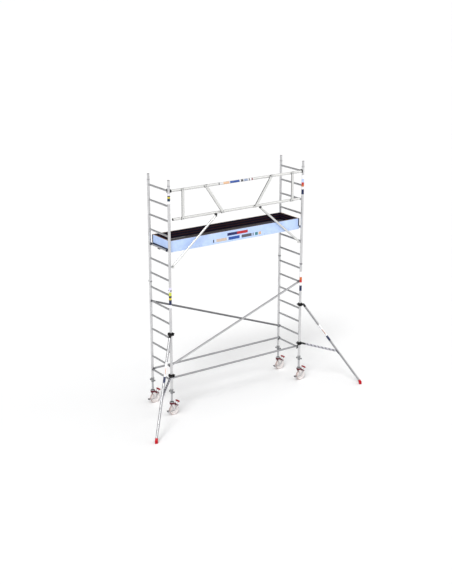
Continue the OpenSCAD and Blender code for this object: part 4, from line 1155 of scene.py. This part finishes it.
def detail_platform():
    beam_lo, beam_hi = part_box("platform_side_beams")
    deck_lo, deck_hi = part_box("platform_deck")
    door_lo, door_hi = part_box("trapdoor")
    toe_lo, toe_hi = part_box("toe_board_front")

    grooves = []
    for y, out in ((beam_lo.y, -1), (beam_hi.y, 1)):
        for share in (0.1, 0.36):
            height = beam_lo.z + (beam_hi.z - beam_lo.z) * share
            spot = Vector(((beam_lo.x + beam_hi.x) / 2, y + out * 0.2 * MM, height))
            grooves.append(block((beam_hi.x - beam_lo.x - 4 * MM, 1.2 * MM, 3 * MM), spot, 0.4 * MM))
    piece("side_beam_ribs", grooves, "beam", "tower")

    rivets = []
    for x in (beam_lo.x + 20 * MM, *CROSS_BEAM_X, beam_hi.x - 20 * MM):
        for y, facing in ((beam_lo.y, -Y), (beam_hi.y, Y)):
            for height in (beam_lo.z + 14 * MM, beam_lo.z + 32 * MM):
                rivets.append((Vector((x, y, height)), facing))
    grown("side_beam_rivets", "rivets", rivets, "plated", "tower", "side_beam", Radius=4.5 * MM, Height=2 * MM)

    inset = 14 * MM
    screws = []
    for x in spaced(deck_lo.x + inset, deck_hi.x - inset, 0.3):
        for y in (deck_lo.y + inset, deck_hi.y - inset):
            screws.append((Vector((x, y, deck_hi.z)), Z))
    grown("deck_screws", "rivets", screws, "plated", "tower", "deck", Radius=5 * MM, Height=0.9 * MM)

    strip, lift = 16 * MM, 1.4 * MM
    leaf_x = 30 * MM
    hatch_lo = Vector((door_lo.x - 1.5 * MM, door_lo.y - 1.5 * MM, deck_hi.z))
    hatch_hi = Vector((door_hi.x + 1.5 * MM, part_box("trapdoor_hinge")[0].y + 6 * MM, deck_hi.z))
    frame_bars = []
    mid_x = (hatch_lo.x + hatch_hi.x) / 2
    for x in (hatch_lo.x - strip / 2, hatch_hi.x + strip / 2):
        spot = Vector((x, (hatch_lo.y + hatch_hi.y) / 2, deck_hi.z + lift / 2))
        frame_bars.append(block((strip, hatch_hi.y - hatch_lo.y, lift), spot, 0.4 * MM))
    spot = Vector((mid_x, hatch_lo.y - strip / 2, deck_hi.z + lift / 2))
    frame_bars.append(block((hatch_hi.x - hatch_lo.x + 2 * strip, strip, lift), spot, 0.4 * MM))
    piece("hatch_edge_strips", frame_bars, "plated", "tower")

    door_bars = []
    for x in (door_lo.x + strip / 2, door_hi.x - strip / 2):
        spot = Vector((x, (door_lo.y + hatch_hi.y) / 2 - leaf_x / 2, deck_hi.z + lift / 2))
        door_bars.append(block((strip, hatch_hi.y - door_lo.y - leaf_x, lift), spot, 0.4 * MM))
    spot = Vector((mid_x, door_lo.y + strip / 2, deck_hi.z + lift / 2))
    door_bars.append(block((door_hi.x - door_lo.x, strip, lift), spot, 0.4 * MM))
    piece("trapdoor_edge_strips", door_bars, "plated", "trapdoor")

    hinge_lo, hinge_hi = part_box("trapdoor_hinge")
    screws_fixed, screws_door = [], []
    for x in spaced(hinge_lo.x + 25 * MM, hinge_hi.x - 25 * MM, 0.12):
        screws_fixed.append((Vector((x, hinge_hi.y - 9 * MM, deck_hi.z + 2.5 * MM)), Z))
        screws_door.append((Vector((x, hinge_lo.y - 8 * MM, deck_hi.z + 2.5 * MM)), Z))
    for part, body, screws in (("fixed", "tower", screws_fixed), ("door", "trapdoor", screws_door)):
        grown(f"hinge_screws_{part}", "rivets", screws, "screw", body, "hinge",
              Radius=4 * MM, Height=1.4 * MM)

    hook_screws = []
    for side in SIDES:
        for out in (-1, 1):
            y = MID_Y + out * HOOK_Y
            spot = Vector((END_X[side], y, rung_z(10)))
            for face in (Y, -Y):
                hook_screws.append((spot + Z * 21 * MM + face * 20 * MM + inward(side) * 14 * MM, face))
    grown("hook_screws", "bolts", hook_screws, "screw", "tower", "hook",
          Radius=4.5 * MM, Height=3 * MM, Washer=6.5 * MM, Washer_Height=1 * MM)

    clip_rivets = []
    for side, sign in SIDES.items():
        for y, facing in ((toe_lo.y, -Y), (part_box("toe_board_back")[1].y, Y)):
            x = END_X[side] + sign * -1 * 43 * MM
            for share in (0.18, 0.5, 0.82):
                height = toe_lo.z + (toe_hi.z - toe_lo.z) * share
                clip_rivets.append((Vector((x, y + facing.y * 3.3 * MM, height)), facing))
    grown("toe_clip_rivets", "rivets", clip_rivets, "plated", "tower", "corner_clip",
          Radius=3.6 * MM, Height=1.6 * MM)

    caps = []
    for name in ("front", "back"):
        lo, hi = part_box(f"toe_board_{name}")
        spot = Vector(((lo.x + hi.x) / 2, (lo.y + hi.y) / 2, hi.z + 0.5 * MM))
        caps.append(block((hi.x - lo.x, 7 * MM, 2 * MM), spot, 0.7 * MM))
    piece("toe_board_top_beads", caps, "navy", "tower")

    for side, sign in SIDES.items():
        lo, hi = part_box(f"wind_lock_{side}")
        ribs = []
        grip = (lo.x if sign > 0 else hi.x) + inward(side).x * 0.2 * MM
        for height in (lo.z + 4 * MM, lo.z + 8 * MM, lo.z + 12 * MM):
            ribs.append(block((1.6 * MM, 52 * MM, 2 * MM), Vector((grip, MID_Y, height)), 0.5 * MM))
        piece(f"wind_lock_ribs_{side}", ribs, "grip", f"wind_lock_{side}")


# ---------- guardrail ----------

def detail_guardrail():
    knee_z = middle("guardrail_knee_rail").z
    bar_lo, bar_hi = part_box("guardrail_posts")
    bolts = []
    slant_top, slant_foot = 740 * MM, 375 * MM
    post_x = END_X["right"] - 280 * MM
    for sign in (-1, 1):
        for x, z in ((post_x, knee_z), (post_x, TOP_Z), (slant_foot, knee_z), (slant_top, TOP_Z)):
            bolts.append((Vector((sign * x, bar_lo.y, z)), -Y))
    grown("guardrail_bolts", "bolts", bolts, "screw", "tower", "rail",
          Radius=6 * MM, Height=3.5 * MM, Washer=10 * MM, Washer_Height=1.2 * MM)

    caps = []
    rail_lo, rail_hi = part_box("guardrail_knee_rail")
    for x, axis in ((rail_lo.x, -X), (rail_hi.x, X)):
        foot = Vector((x, FRONT_Y, knee_z))
        caps.append(capped([(RAIL_R - 3 * MM, -14 * MM), (RAIL_R - 3 * MM, 0), (RAIL_R + 0.4 * MM, 0.2 * MM),
                            (RAIL_R + 0.4 * MM, 3 * MM), (RAIL_R - 2 * MM, 5 * MM)], foot, axis, 28))
    piece("knee_rail_caps", caps, "grip", "tower")

    levers, studs = [], []
    for side in SIDES:
        spot = Vector((END_X[side], FRONT_Y, TOP_Z))
        inner = inward(side)
        levers.append(block((18 * MM, 34 * MM, 46 * MM), spot + inner * 42 * MM, 3 * MM, X, Z))
        levers.append(block((9 * MM, 46 * MM, 12 * MM), spot + Y * 52 * MM + Z * 27 * MM, 2.5 * MM, X, Z))
        studs.append((spot + inner * 42 * MM - Y * 17 * MM, -Y))
        studs.append((spot + inner * 42 * MM + Y * 17 * MM, Y))
    piece("rail_claw_levers", levers, "plastic", "tower")
    grown("rail_claw_bolts", "bolts", studs, "screw", "tower", "rail_claw",
          Radius=5 * MM, Height=3 * MM, Washer=8 * MM, Washer_Height=1.2 * MM)

    bars = [(post_x, knee_z, post_x, TOP_Z), (slant_foot, knee_z, slant_top, TOP_Z)]
    # painted shade: dark strips along both long edges of each bar stand for the shade at its edges
    shade_strips, saddles = [], []
    bar_w, bar_back = 50 * MM, bar_hi.y
    for sign in (-1, 1):
        for x0, z0, x1, z1 in bars:
            low, high = Vector((sign * x0, 0, z0)), Vector((sign * x1, 0, z1))
            up = (high - low).normalized()
            side = up.cross(Y)
            inset = Vector((0, (bar_lo.y + bar_hi.y) / 2, 0))
            for face in (-1, 1):
                spot = (low + high) / 2 + inset + side * (face * (bar_w / 2))
                shade_strips.append(block(((high - low).length - 40 * MM, 1.6 * MM, 15 * MM), spot, 0.5 * MM, up, Y))
            for end in (low, high):
                spot = Vector((end.x, bar_back, end.z))
                saddles.append(block((bar_w + 10 * MM, 5 * MM, 2 * RAIL_R + 7 * MM), spot, 2 * MM))
    piece("bar_edge_trims", shade_strips, "handgrip", "tower")
    piece("bar_saddles", saddles, "black", "tower")

    pin_half = 27.3 * MM
    for side in SIDES:
        pin = Vector(next(j for j in frame["joints"] if j["child"] == f"guardrail_leg_{side}")["pos_m"])
        heads = [(pin - Y * pin_half, -Y), (pin + Y * pin_half, Y)]
        grown(f"leg_pivot_nuts_{side}", "bolts", heads, "screw", "tower", "leg_bracket",
              Radius=6 * MM, Height=3 * MM, Washer=8.5 * MM, Washer_Height=1.2 * MM)


# ---------- stabilizers ----------

COUPLER_R = 40 * MM
COUPLER_HALF = 30 * MM
CLASP = 10 * MM


def wing_nut(spot, axis, up):
    """A domed nut with two upright wings."""
    parts = [capped([(8 * MM, 0), (7.5 * MM, 8 * MM), (5 * MM, 11 * MM)], spot, axis, 18)]
    first, second = frame_of(axis, up)
    for turn in (-1, 1):
        wing = spot + axis * 12 * MM + first * (turn * 11 * MM)
        parts.append(block((18 * MM, 4 * MM, 12 * MM), wing, 1.8 * MM, first * turn + axis * 0.9, axis))
        parts.append(capped([(3 * MM, -2.5 * MM), (5 * MM, -1.5 * MM), (5 * MM, 1.5 * MM), (3 * MM, 2.5 * MM)],
                            wing + (first * turn + axis * 0.9).normalized() * 8 * MM, second, 14))
    return parts


def detail_stabilizers():
    for side in SIDES:
        foot, out, high, low = stabilizer_lines(side)
        across = Z.cross(out)
        fall = strut_foot(side) - high
        down, length = fall.normalized(), fall.length
        shoe = foot + out * STRUT_REACH

        nuts, jaws = [], []
        for pivot in (high, low):
            hub = Vector((foot.x, foot.y, pivot.z))
            nuts += wing_nut(hub - out * (COUPLER_R + CLASP - 1 * MM), -out, Z)
            for height in (-COUPLER_HALF + 5 * MM, COUPLER_HALF - 5 * MM):
                jaws.append(ring(COUPLER_R - 1 * MM, COUPLER_R + 1.6 * MM, height - 2.5 * MM,
                                 height + 2.5 * MM, hub, Z, 40))
            seam = (3 * MM, 2 * COUPLER_R + 3 * MM, 2 * COUPLER_HALF + 1 * MM)
            jaws.append(block(seam, hub, 0.8 * MM, out, Z))
            for face in (-1, 1):
                ear = hub + across * (face * (COUPLER_R + 9 * MM)) - out * 6 * MM
                spike = ear + Z * (face * 14 * MM) + across * (face * 9 * MM)
                jaws.append(block((22 * MM, 20 * MM, 2 * COUPLER_HALF - 8 * MM), ear, 3 * MM, across, Z))
                jaws.append(block((26 * MM, 9 * MM, 9 * MM), spike, 2.5 * MM, across * face + Z * 0.5, out))
        piece(f"coupler_wing_nuts_{side}", nuts, "screw", f"stabilizer_{side}_couplers")
        piece(f"coupler_jaw_ribs_{side}", jaws, "black", f"stabilizer_{side}_couplers")

        heads = []
        for pivot, tube_r in ((high, STRUT_R), (low, ARM_R)):
            reach = tube_r + 11.4 * MM
            heads += [(pivot + across * reach, across), (pivot - across * reach, -across)]
        grown(f"coupler_bolts_{side}", "bolts", heads, "screw", f"stabilizer_{side}_couplers", "coupler",
              Radius=7 * MM, Height=4.5 * MM, Washer=10 * MM, Washer_Height=1.2 * MM)

        # painted shade: dark lines along both sides of the strut stand for the shade at its edges
        lines = []
        first = frame_of(down, out)[0]
        for face in (-1, 1):
            middle_spot = high + down * (length * 0.47) + across * (face * (STRUT_R - 0.2 * MM))
            lines.append(block((length * 0.86, 1.4 * MM, 5 * MM), middle_spot, 0.4 * MM, down, first))
        piece(f"strut_grooves_{side}", lines, "handgrip", f"stabilizer_{side}_strut")

        holes = []
        for share in spaced(0.7, 0.9, 0.05):
            spot = high + down * (length * share)
            holes.append((spot + first * (STRUT_R - 0.4 * MM), first))
        grown(f"strut_buttons_{side}", "rivets", holes, "screw", f"stabilizer_{side}_strut", "strut",
              Radius=5 * MM, Height=1.6 * MM)

        cap_end, skin = -15 * MM, 0.35 * MM
        shell = [(STRUT_R + skin, cap_end), (STRUT_R + skin, 56 * MM)]
        head = [capped(shell, high, down, 36)]
        piece(f"strut_head_{side}", head, "black", f"stabilizer_{side}_strut")

        reach = arm_line(side)[1] - low
        climb, arm_length = reach.normalized(), reach.length
        shell = [(ARM_R + skin, cap_end), (ARM_R + skin, 62 * MM)]
        piece(f"arm_head_{side}", [capped(shell, low, climb, 36)], "black", f"stabilizer_{side}_arm")
        seeds = [(low + climb * 62 * MM, climb), (low + climb * (arm_length - 60 * MM), climb)]
        grown(f"arm_ribs_{side}", "flutes", seeds, "arm", f"stabilizer_{side}_arm", "arm", 20, [(0, 1)],
              Radius=ARM_R + 0.05 * MM, Depth=1.1 * MM, Flutes=12, Twist=6.0, Rings=36)

        shoe_r = 28 * MM
        rings = []
        for low_edge in (4 * MM, 13 * MM, 22 * MM, 31 * MM):
            rings.append(ring(shoe_r - 1 * MM, shoe_r + 1.4 * MM, low_edge, low_edge + 4 * MM, shoe, Z, 40))
        cuff = shoe + Z * 45 * MM - down * 45 * MM
        rings.append(ring(STRUT_R + 0.2 * MM, shoe_r + 1.5 * MM, -3 * MM, 4 * MM, cuff, down, 40))
        piece(f"foot_rings_{side}", rings, "foot", f"stabilizer_{side}_strut")


# ---------- castors ----------

GUARD_FROM, GUARD_TO = math.radians(40), math.radians(118)


def detail_castors():
    for corner in CORNERS:
        depth, side = corner.split("_")
        axis_foot = upright(side, depth)
        leg_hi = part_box(f"castor_leg_{corner}")[1]
        nut_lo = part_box(f"adjusting_nut_{corner}")[0]
        fork_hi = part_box(f"castor_fork_{corner}")[1]
        hub = middle(f"castor_wheel_{corner}")
        base_top = fork_hi.z + 16.3 * MM

        start = axis_foot + Z * (base_top + 1 * MM)
        grown(f"leg_thread_{corner}", "threads", [(start, Z)], "thread", f"castor_leg_{corner}",
              "castor_leg", 50, Radius=18.9 * MM, Ridge=1.5 * MM, Pitch=10 * MM,
              Length=leg_hi.z - 62 * MM - base_top)
        bolts = []
        for i in range(4):
            angle = math.tau * (i + 0.5) / 4
            spoke = Vector((math.cos(angle), math.sin(angle), 0))
            bolts.append((start - Z * 1 * MM + spoke * 29 * MM, Z))
        grown(f"base_bolts_{corner}", "bolts", bolts, "screw", f"castor_leg_{corner}", "castor_leg",
              Radius=5.5 * MM, Height=4.5 * MM, Washer=7.5 * MM, Washer_Height=1.5 * MM)
        collar = [ring(18.9 * MM, 24 * MM, 0, 9 * MM, start - Z * 1 * MM, Z)]
        piece(f"leg_collar_{corner}", collar, "grip", f"castor_leg_{corner}")

        nut_r = 27 * MM
        ribs = []
        for i in range(14):
            angle = math.tau * i / 14
            spoke = Vector((math.cos(angle), math.sin(angle), 0))
            ribs.append((axis_foot + spoke * nut_r + Z * (nut_lo.z + 31 * MM), spoke))
        grown(f"nut_ribs_{corner}", "bars", ribs, "nut", f"adjusting_nut_{corner}", "nut",
              Size=(2.4 * MM, 4 * MM, 54 * MM))
        sleeves = [ring(nut_r - 1 * MM, nut_r + 2.2 * MM, 0, 5 * MM, axis_foot + Z * nut_lo.z, Z)]
        wing = math.radians(-70)
        for turn in (0, math.pi):
            tip = axis_foot + Vector((math.cos(wing + turn), math.sin(wing + turn), 0)) * 55 * MM
            low = nut_lo.z + 14 * MM
            sleeves.append(ring(7.9 * MM, 9.4 * MM, 4 * MM, 28 * MM, tip + Z * low, Z, 20))
        piece(f"nut_wing_sleeves_{corner}", sleeves, "handgrip", f"adjusting_nut_{corner}")

        head_r = 46 * MM
        head_foot = axis_foot + Z * (fork_hi.z - 30 * MM)
        rim = [ring(head_r - 1 * MM, head_r + 1.5 * MM, low, high, head_foot, Z, 44)
               for low, high in ((3 * MM, 9 * MM), (20 * MM, 27 * MM))]
        piece(f"fork_head_rims_{corner}", rim, "maroon", f"castor_fork_{corner}")
        nose = [arch(106 * MM, 113 * MM, 25.5 * MM, hub, GUARD_FROM, GUARD_TO)]
        for face in (-1, 1):
            cheek = hub + Y * face * 24.6 * MM
            nose.append(arch(101.5 * MM, 122 * MM, 1.2 * MM, cheek, GUARD_FROM, GUARD_TO))
        # painted shadow: a dark arc in the gap between guard and wheel stands for the shadow there
        lip = [arch(100.8 * MM, 103 * MM, 24 * MM, hub, GUARD_FROM, GUARD_TO)]
        piece(f"fork_guard_lips_{corner}", lip, "grip", f"castor_fork_{corner}")
        piece(f"fork_noses_{corner}", nose, "maroon", f"castor_fork_{corner}")
        cheeks = []
        for face in (-1, 1):
            y = hub.y + face * 33.5 * MM
            path = [Vector((axis_foot.x - 27 * MM, y, 222 * MM)), Vector((axis_foot.x - 8 * MM, y, 178 * MM)),
                    Vector((hub.x - 18 * MM, y, 128 * MM))]
            cheeks.append(bent_bar(path, 2.2 * MM, 8))
        piece(f"fork_pressings_{corner}", cheeks, "plated", f"castor_fork_{corner}")

        half = 22.5 * MM
        caps, spokes = [], []
        for face in (-1, 1):
            plate = hub + Y * face * (half - 10.5 * MM)
            caps.append(ring(24 * MM, 30 * MM, 0, 5 * MM, plate, Y * face, 36))
            caps.append(ring(60 * MM, 66 * MM, 0, 4 * MM, plate, Y * face, 48))
            for i in range(9):
                angle = math.tau * i / 9
                spoke = Vector((math.cos(angle), 0, math.sin(angle)))
                caps.append(block((32 * MM, 5 * MM, 5 * MM), plate + spoke * 45 * MM + Y * face * 1.5 * MM,
                                  1.2 * MM, spoke, Y))
            spokes.append(ring(7 * MM, 15 * MM, 0, 1.5 * MM, hub + Y * face * (half + 2.6 * MM), Y * face, 28))
        piece(f"wheel_ribs_{corner}", caps, "nylon", f"castor_wheel_{corner}")
        piece(f"wheel_seals_{corner}", spokes, "grip", f"castor_wheel_{corner}")

        pedal = Vector((hub.x + 86 * MM, hub.y, hub.z + 163 * MM))
        tilt = math.radians(25)
        ahead = Vector((math.cos(tilt), 0, -math.sin(tilt)))
        up = Vector((math.sin(tilt), 0, math.cos(tilt)))
        treads = [block((52 * MM, 84 * MM, 13 * MM), pedal - up * 9 * MM, 4 * MM, ahead, up)]
        for i in range(-3, 4):
            treads.append(block((60 * MM, 3 * MM, 2.4 * MM), pedal + ahead * i * 6.5 * MM + up * 8.4 * MM,
                                0.8 * MM, Y, up))
        piece(f"pedal_ridges_{corner}", treads, "red", f"castor_brake_{corner}")
        tail = Vector((hub.x - 130 * MM, hub.y, hub.z - 15 * MM))
        grip = [ring(8.8 * MM, 11 * MM, -24 * MM, 24 * MM, tail, Y, 24, 1.5 * MM)]
        piece(f"brake_tail_grip_{corner}", grip, "grip", f"castor_brake_{corner}")


# ---------- stickers on the tower ----------

BOARD_BLUE = "c6d9fa"
UPRIGHT_FILMS = (
    ("upper_left", "left", 4.30, 4.11,
     ((0, "e4e1ec"), (0.2, "2b2a33"), (0.32, "d8c63a"), (0.46, "12304a"), (0.74, "f3f3f5"))),
    ("upper_right", "right", 4.27, 3.89,
     ((0, "f3f3f5"), (0.2, "b9cdf0"), (0.38, "c2241e"), (0.5, "c9662e"), (0.6, "f3f3f5"), (0.74, "101f4a"))),
    ("lower_left", "left", 2.54, 2.145,
     ((0, "dcd8ee"), (0.22, "c9cf4a"), (0.4, "2b2a33"), (0.5, "d8c63a"), (0.6, "101f4a"), (0.84, "f3f3f5"))),
    ("lower_right", "right", 2.32, 1.92,
     ((0, "f3f3f5"), (0.28, "c9662e"), (0.42, "c2241e"), (0.56, "f3f3f5"), (0.72, "101f4a"))),
)
RAIL_FILM = (
    (0, "3a3a40"), (0.02, "dcdcde"), (0.13, "e0b48e"), (0.3, "f0f0f2"), (0.32, "224c9c"), (0.59, "f0f0f2"),
    (0.63, "3c3c44"), (0.7, "f0f0f2"), (0.72, "8f9cb8"), (0.83, "f0f0f2"), (0.86, "3c3c44"),
    (0.89, "f0f0f2"), (0.94, "7c2a30"), (0.98, "dcdcde"),
)
TOE_FILM = ((0, "14215c"), (0.47, "b41c28"))
BEAM_FILM = (
    (0, "3a3a44"), (0.02, BOARD_BLUE), (0.063, "cdb9a8"), (0.275, BOARD_BLUE), (0.31, "224c9c"),
    (0.54, BOARD_BLUE), (0.58, "56565e"), (0.79, BOARD_BLUE), (0.81, "3a3a44"), (0.83, BOARD_BLUE),
    (0.86, "3a7c86"), (0.92, BOARD_BLUE), (0.935, "d8b08c"), (0.99, BOARD_BLUE),
)


def stickers():
    clear = UPRIGHT_R + 0.15 * MM
    for name, side, high, low, bands in UPRIGHT_FILMS:
        top = upright(side, "front") + Z * high
        shape = wrapped_film(top, -Z, Vector((-0.5, -1, 0)), clear, high - low, math.radians(80))
        film_piece(f"upright_film_{name}", shape, bands, "tower")

    start = Vector((-0.456, FRONT_Y, TOP_Z))
    film_piece("rail_film_top", wrapped_film(start, X, Vector((0, -1, 0.2)), RAIL_R + 0.15 * MM, 0.786,
                                             math.radians(55)), RAIL_FILM, "tower")

    toe_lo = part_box("toe_board_front")[0]
    beam_lo, beam_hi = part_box("platform_side_beams")
    for name, face_y, out in (("front", beam_lo.y, -1), ("back", beam_hi.y, 1)):
        corner = Vector((out * 0.216, face_y + out * 0.1 * MM, toe_lo.z + 54 * MM))
        film_piece(f"toe_film_{name}", flat_film(corner, X * -out * 0.472, Z * 55 * MM), TOE_FILM, "tower")
        corner = Vector((out * 0.54, face_y + out * 0.1 * MM, beam_hi.z - 29 * MM))
        film_piece(f"beam_film_{name}", flat_film(corner, X * -out * 1.12, Z * 58 * MM), BEAM_FILM, "tower")

    for side in SIDES:
        high = stabilizer_lines(side)[2]
        fall = strut_foot(side) - high
        down, length = fall.normalized(), fall.length
        for name, start, share, radius, half, bands in (
            ("label", 0.26, 0.2, 0.15 * MM, 75, ((0, "f3f3f5"), (0.7, "101f4a"))),
            ("stripe", 0.32, 0.06, 0.45 * MM, 14, ((0, "b77b4c"), (0.5, "a96a3c"))),
        ):
            shape = wrapped_film(high + down * length * start, down, Vector((-0.5, -1, 0.4)), STRUT_R + radius,
                                 length * share, math.radians(half))
            film_piece(f"strut_{name}_{side}", shape, bands, f"stabilizer_{side}_strut")


detail_frames()
detail_braces()
detail_platform()
detail_guardrail()
detail_stabilizers()
detail_castors()
stickers()


# ---------- floor and light ----------

def make_floor():
    bpy.ops.mesh.primitive_plane_add(size=700, location=(0, 0, -0.5 * MM))
    floor = bpy.context.object
    floor.name = "floor"
    material, _, surface, _ = new_material("pale_floor", 0.0, 0.9)
    surface.inputs["Base Color"].default_value = (0.93, 0.93, 0.93, 1)
    surface.inputs["Specular IOR Level"].default_value = 0.1
    floor.data.materials.append(material)


# Out to the back and left of the studio, where a dark screen gives round metal its edges
DARK_SIDE = Vector((-0.2, 0.92, 0.33)).normalized()


def make_light():
    world = bpy.data.worlds.new("studio")
    bpy.context.scene.world = world
    world.use_nodes = True
    tree = world.node_tree
    sky = tree.nodes["Background"]
    sky.inputs["Strength"].default_value = 0.95
    direction = tree.nodes.new("ShaderNodeTexCoord").outputs["Generated"]
    lean = add(tree, "ShaderNodeVectorMath", {"operation": "DOT_PRODUCT"}, {0: direction, 1: DARK_SIDE})
    shade = spread(tree, lean.outputs["Value"], 0.45, 0.8)
    studio = mixed(tree, shade, (1, 1, 1, 1), (0.06, 0.06, 0.065, 1))
    seen = tree.nodes.new("ShaderNodeLightPath").outputs["Is Camera Ray"]
    tree.links.new(mixed(tree, seen, studio, (1, 1, 1, 1)), sky.inputs["Color"])
    for name, angle, strength, soft in (
        ("key", (42, 0, -52), 1.4, 18),
        ("fill", (60, 0, 60), 0.35, 40),
    ):
        data = bpy.data.lights.new(name, "SUN")
        data.energy = strength
        data.angle = math.radians(soft)
        lamp = bpy.data.objects.new(name, data)
        lamp.rotation_euler = [math.radians(a) for a in angle]
        bpy.context.scene.collection.objects.link(lamp)


make_floor()
make_light()
bpy.context.scene.view_settings.view_transform = "Standard"
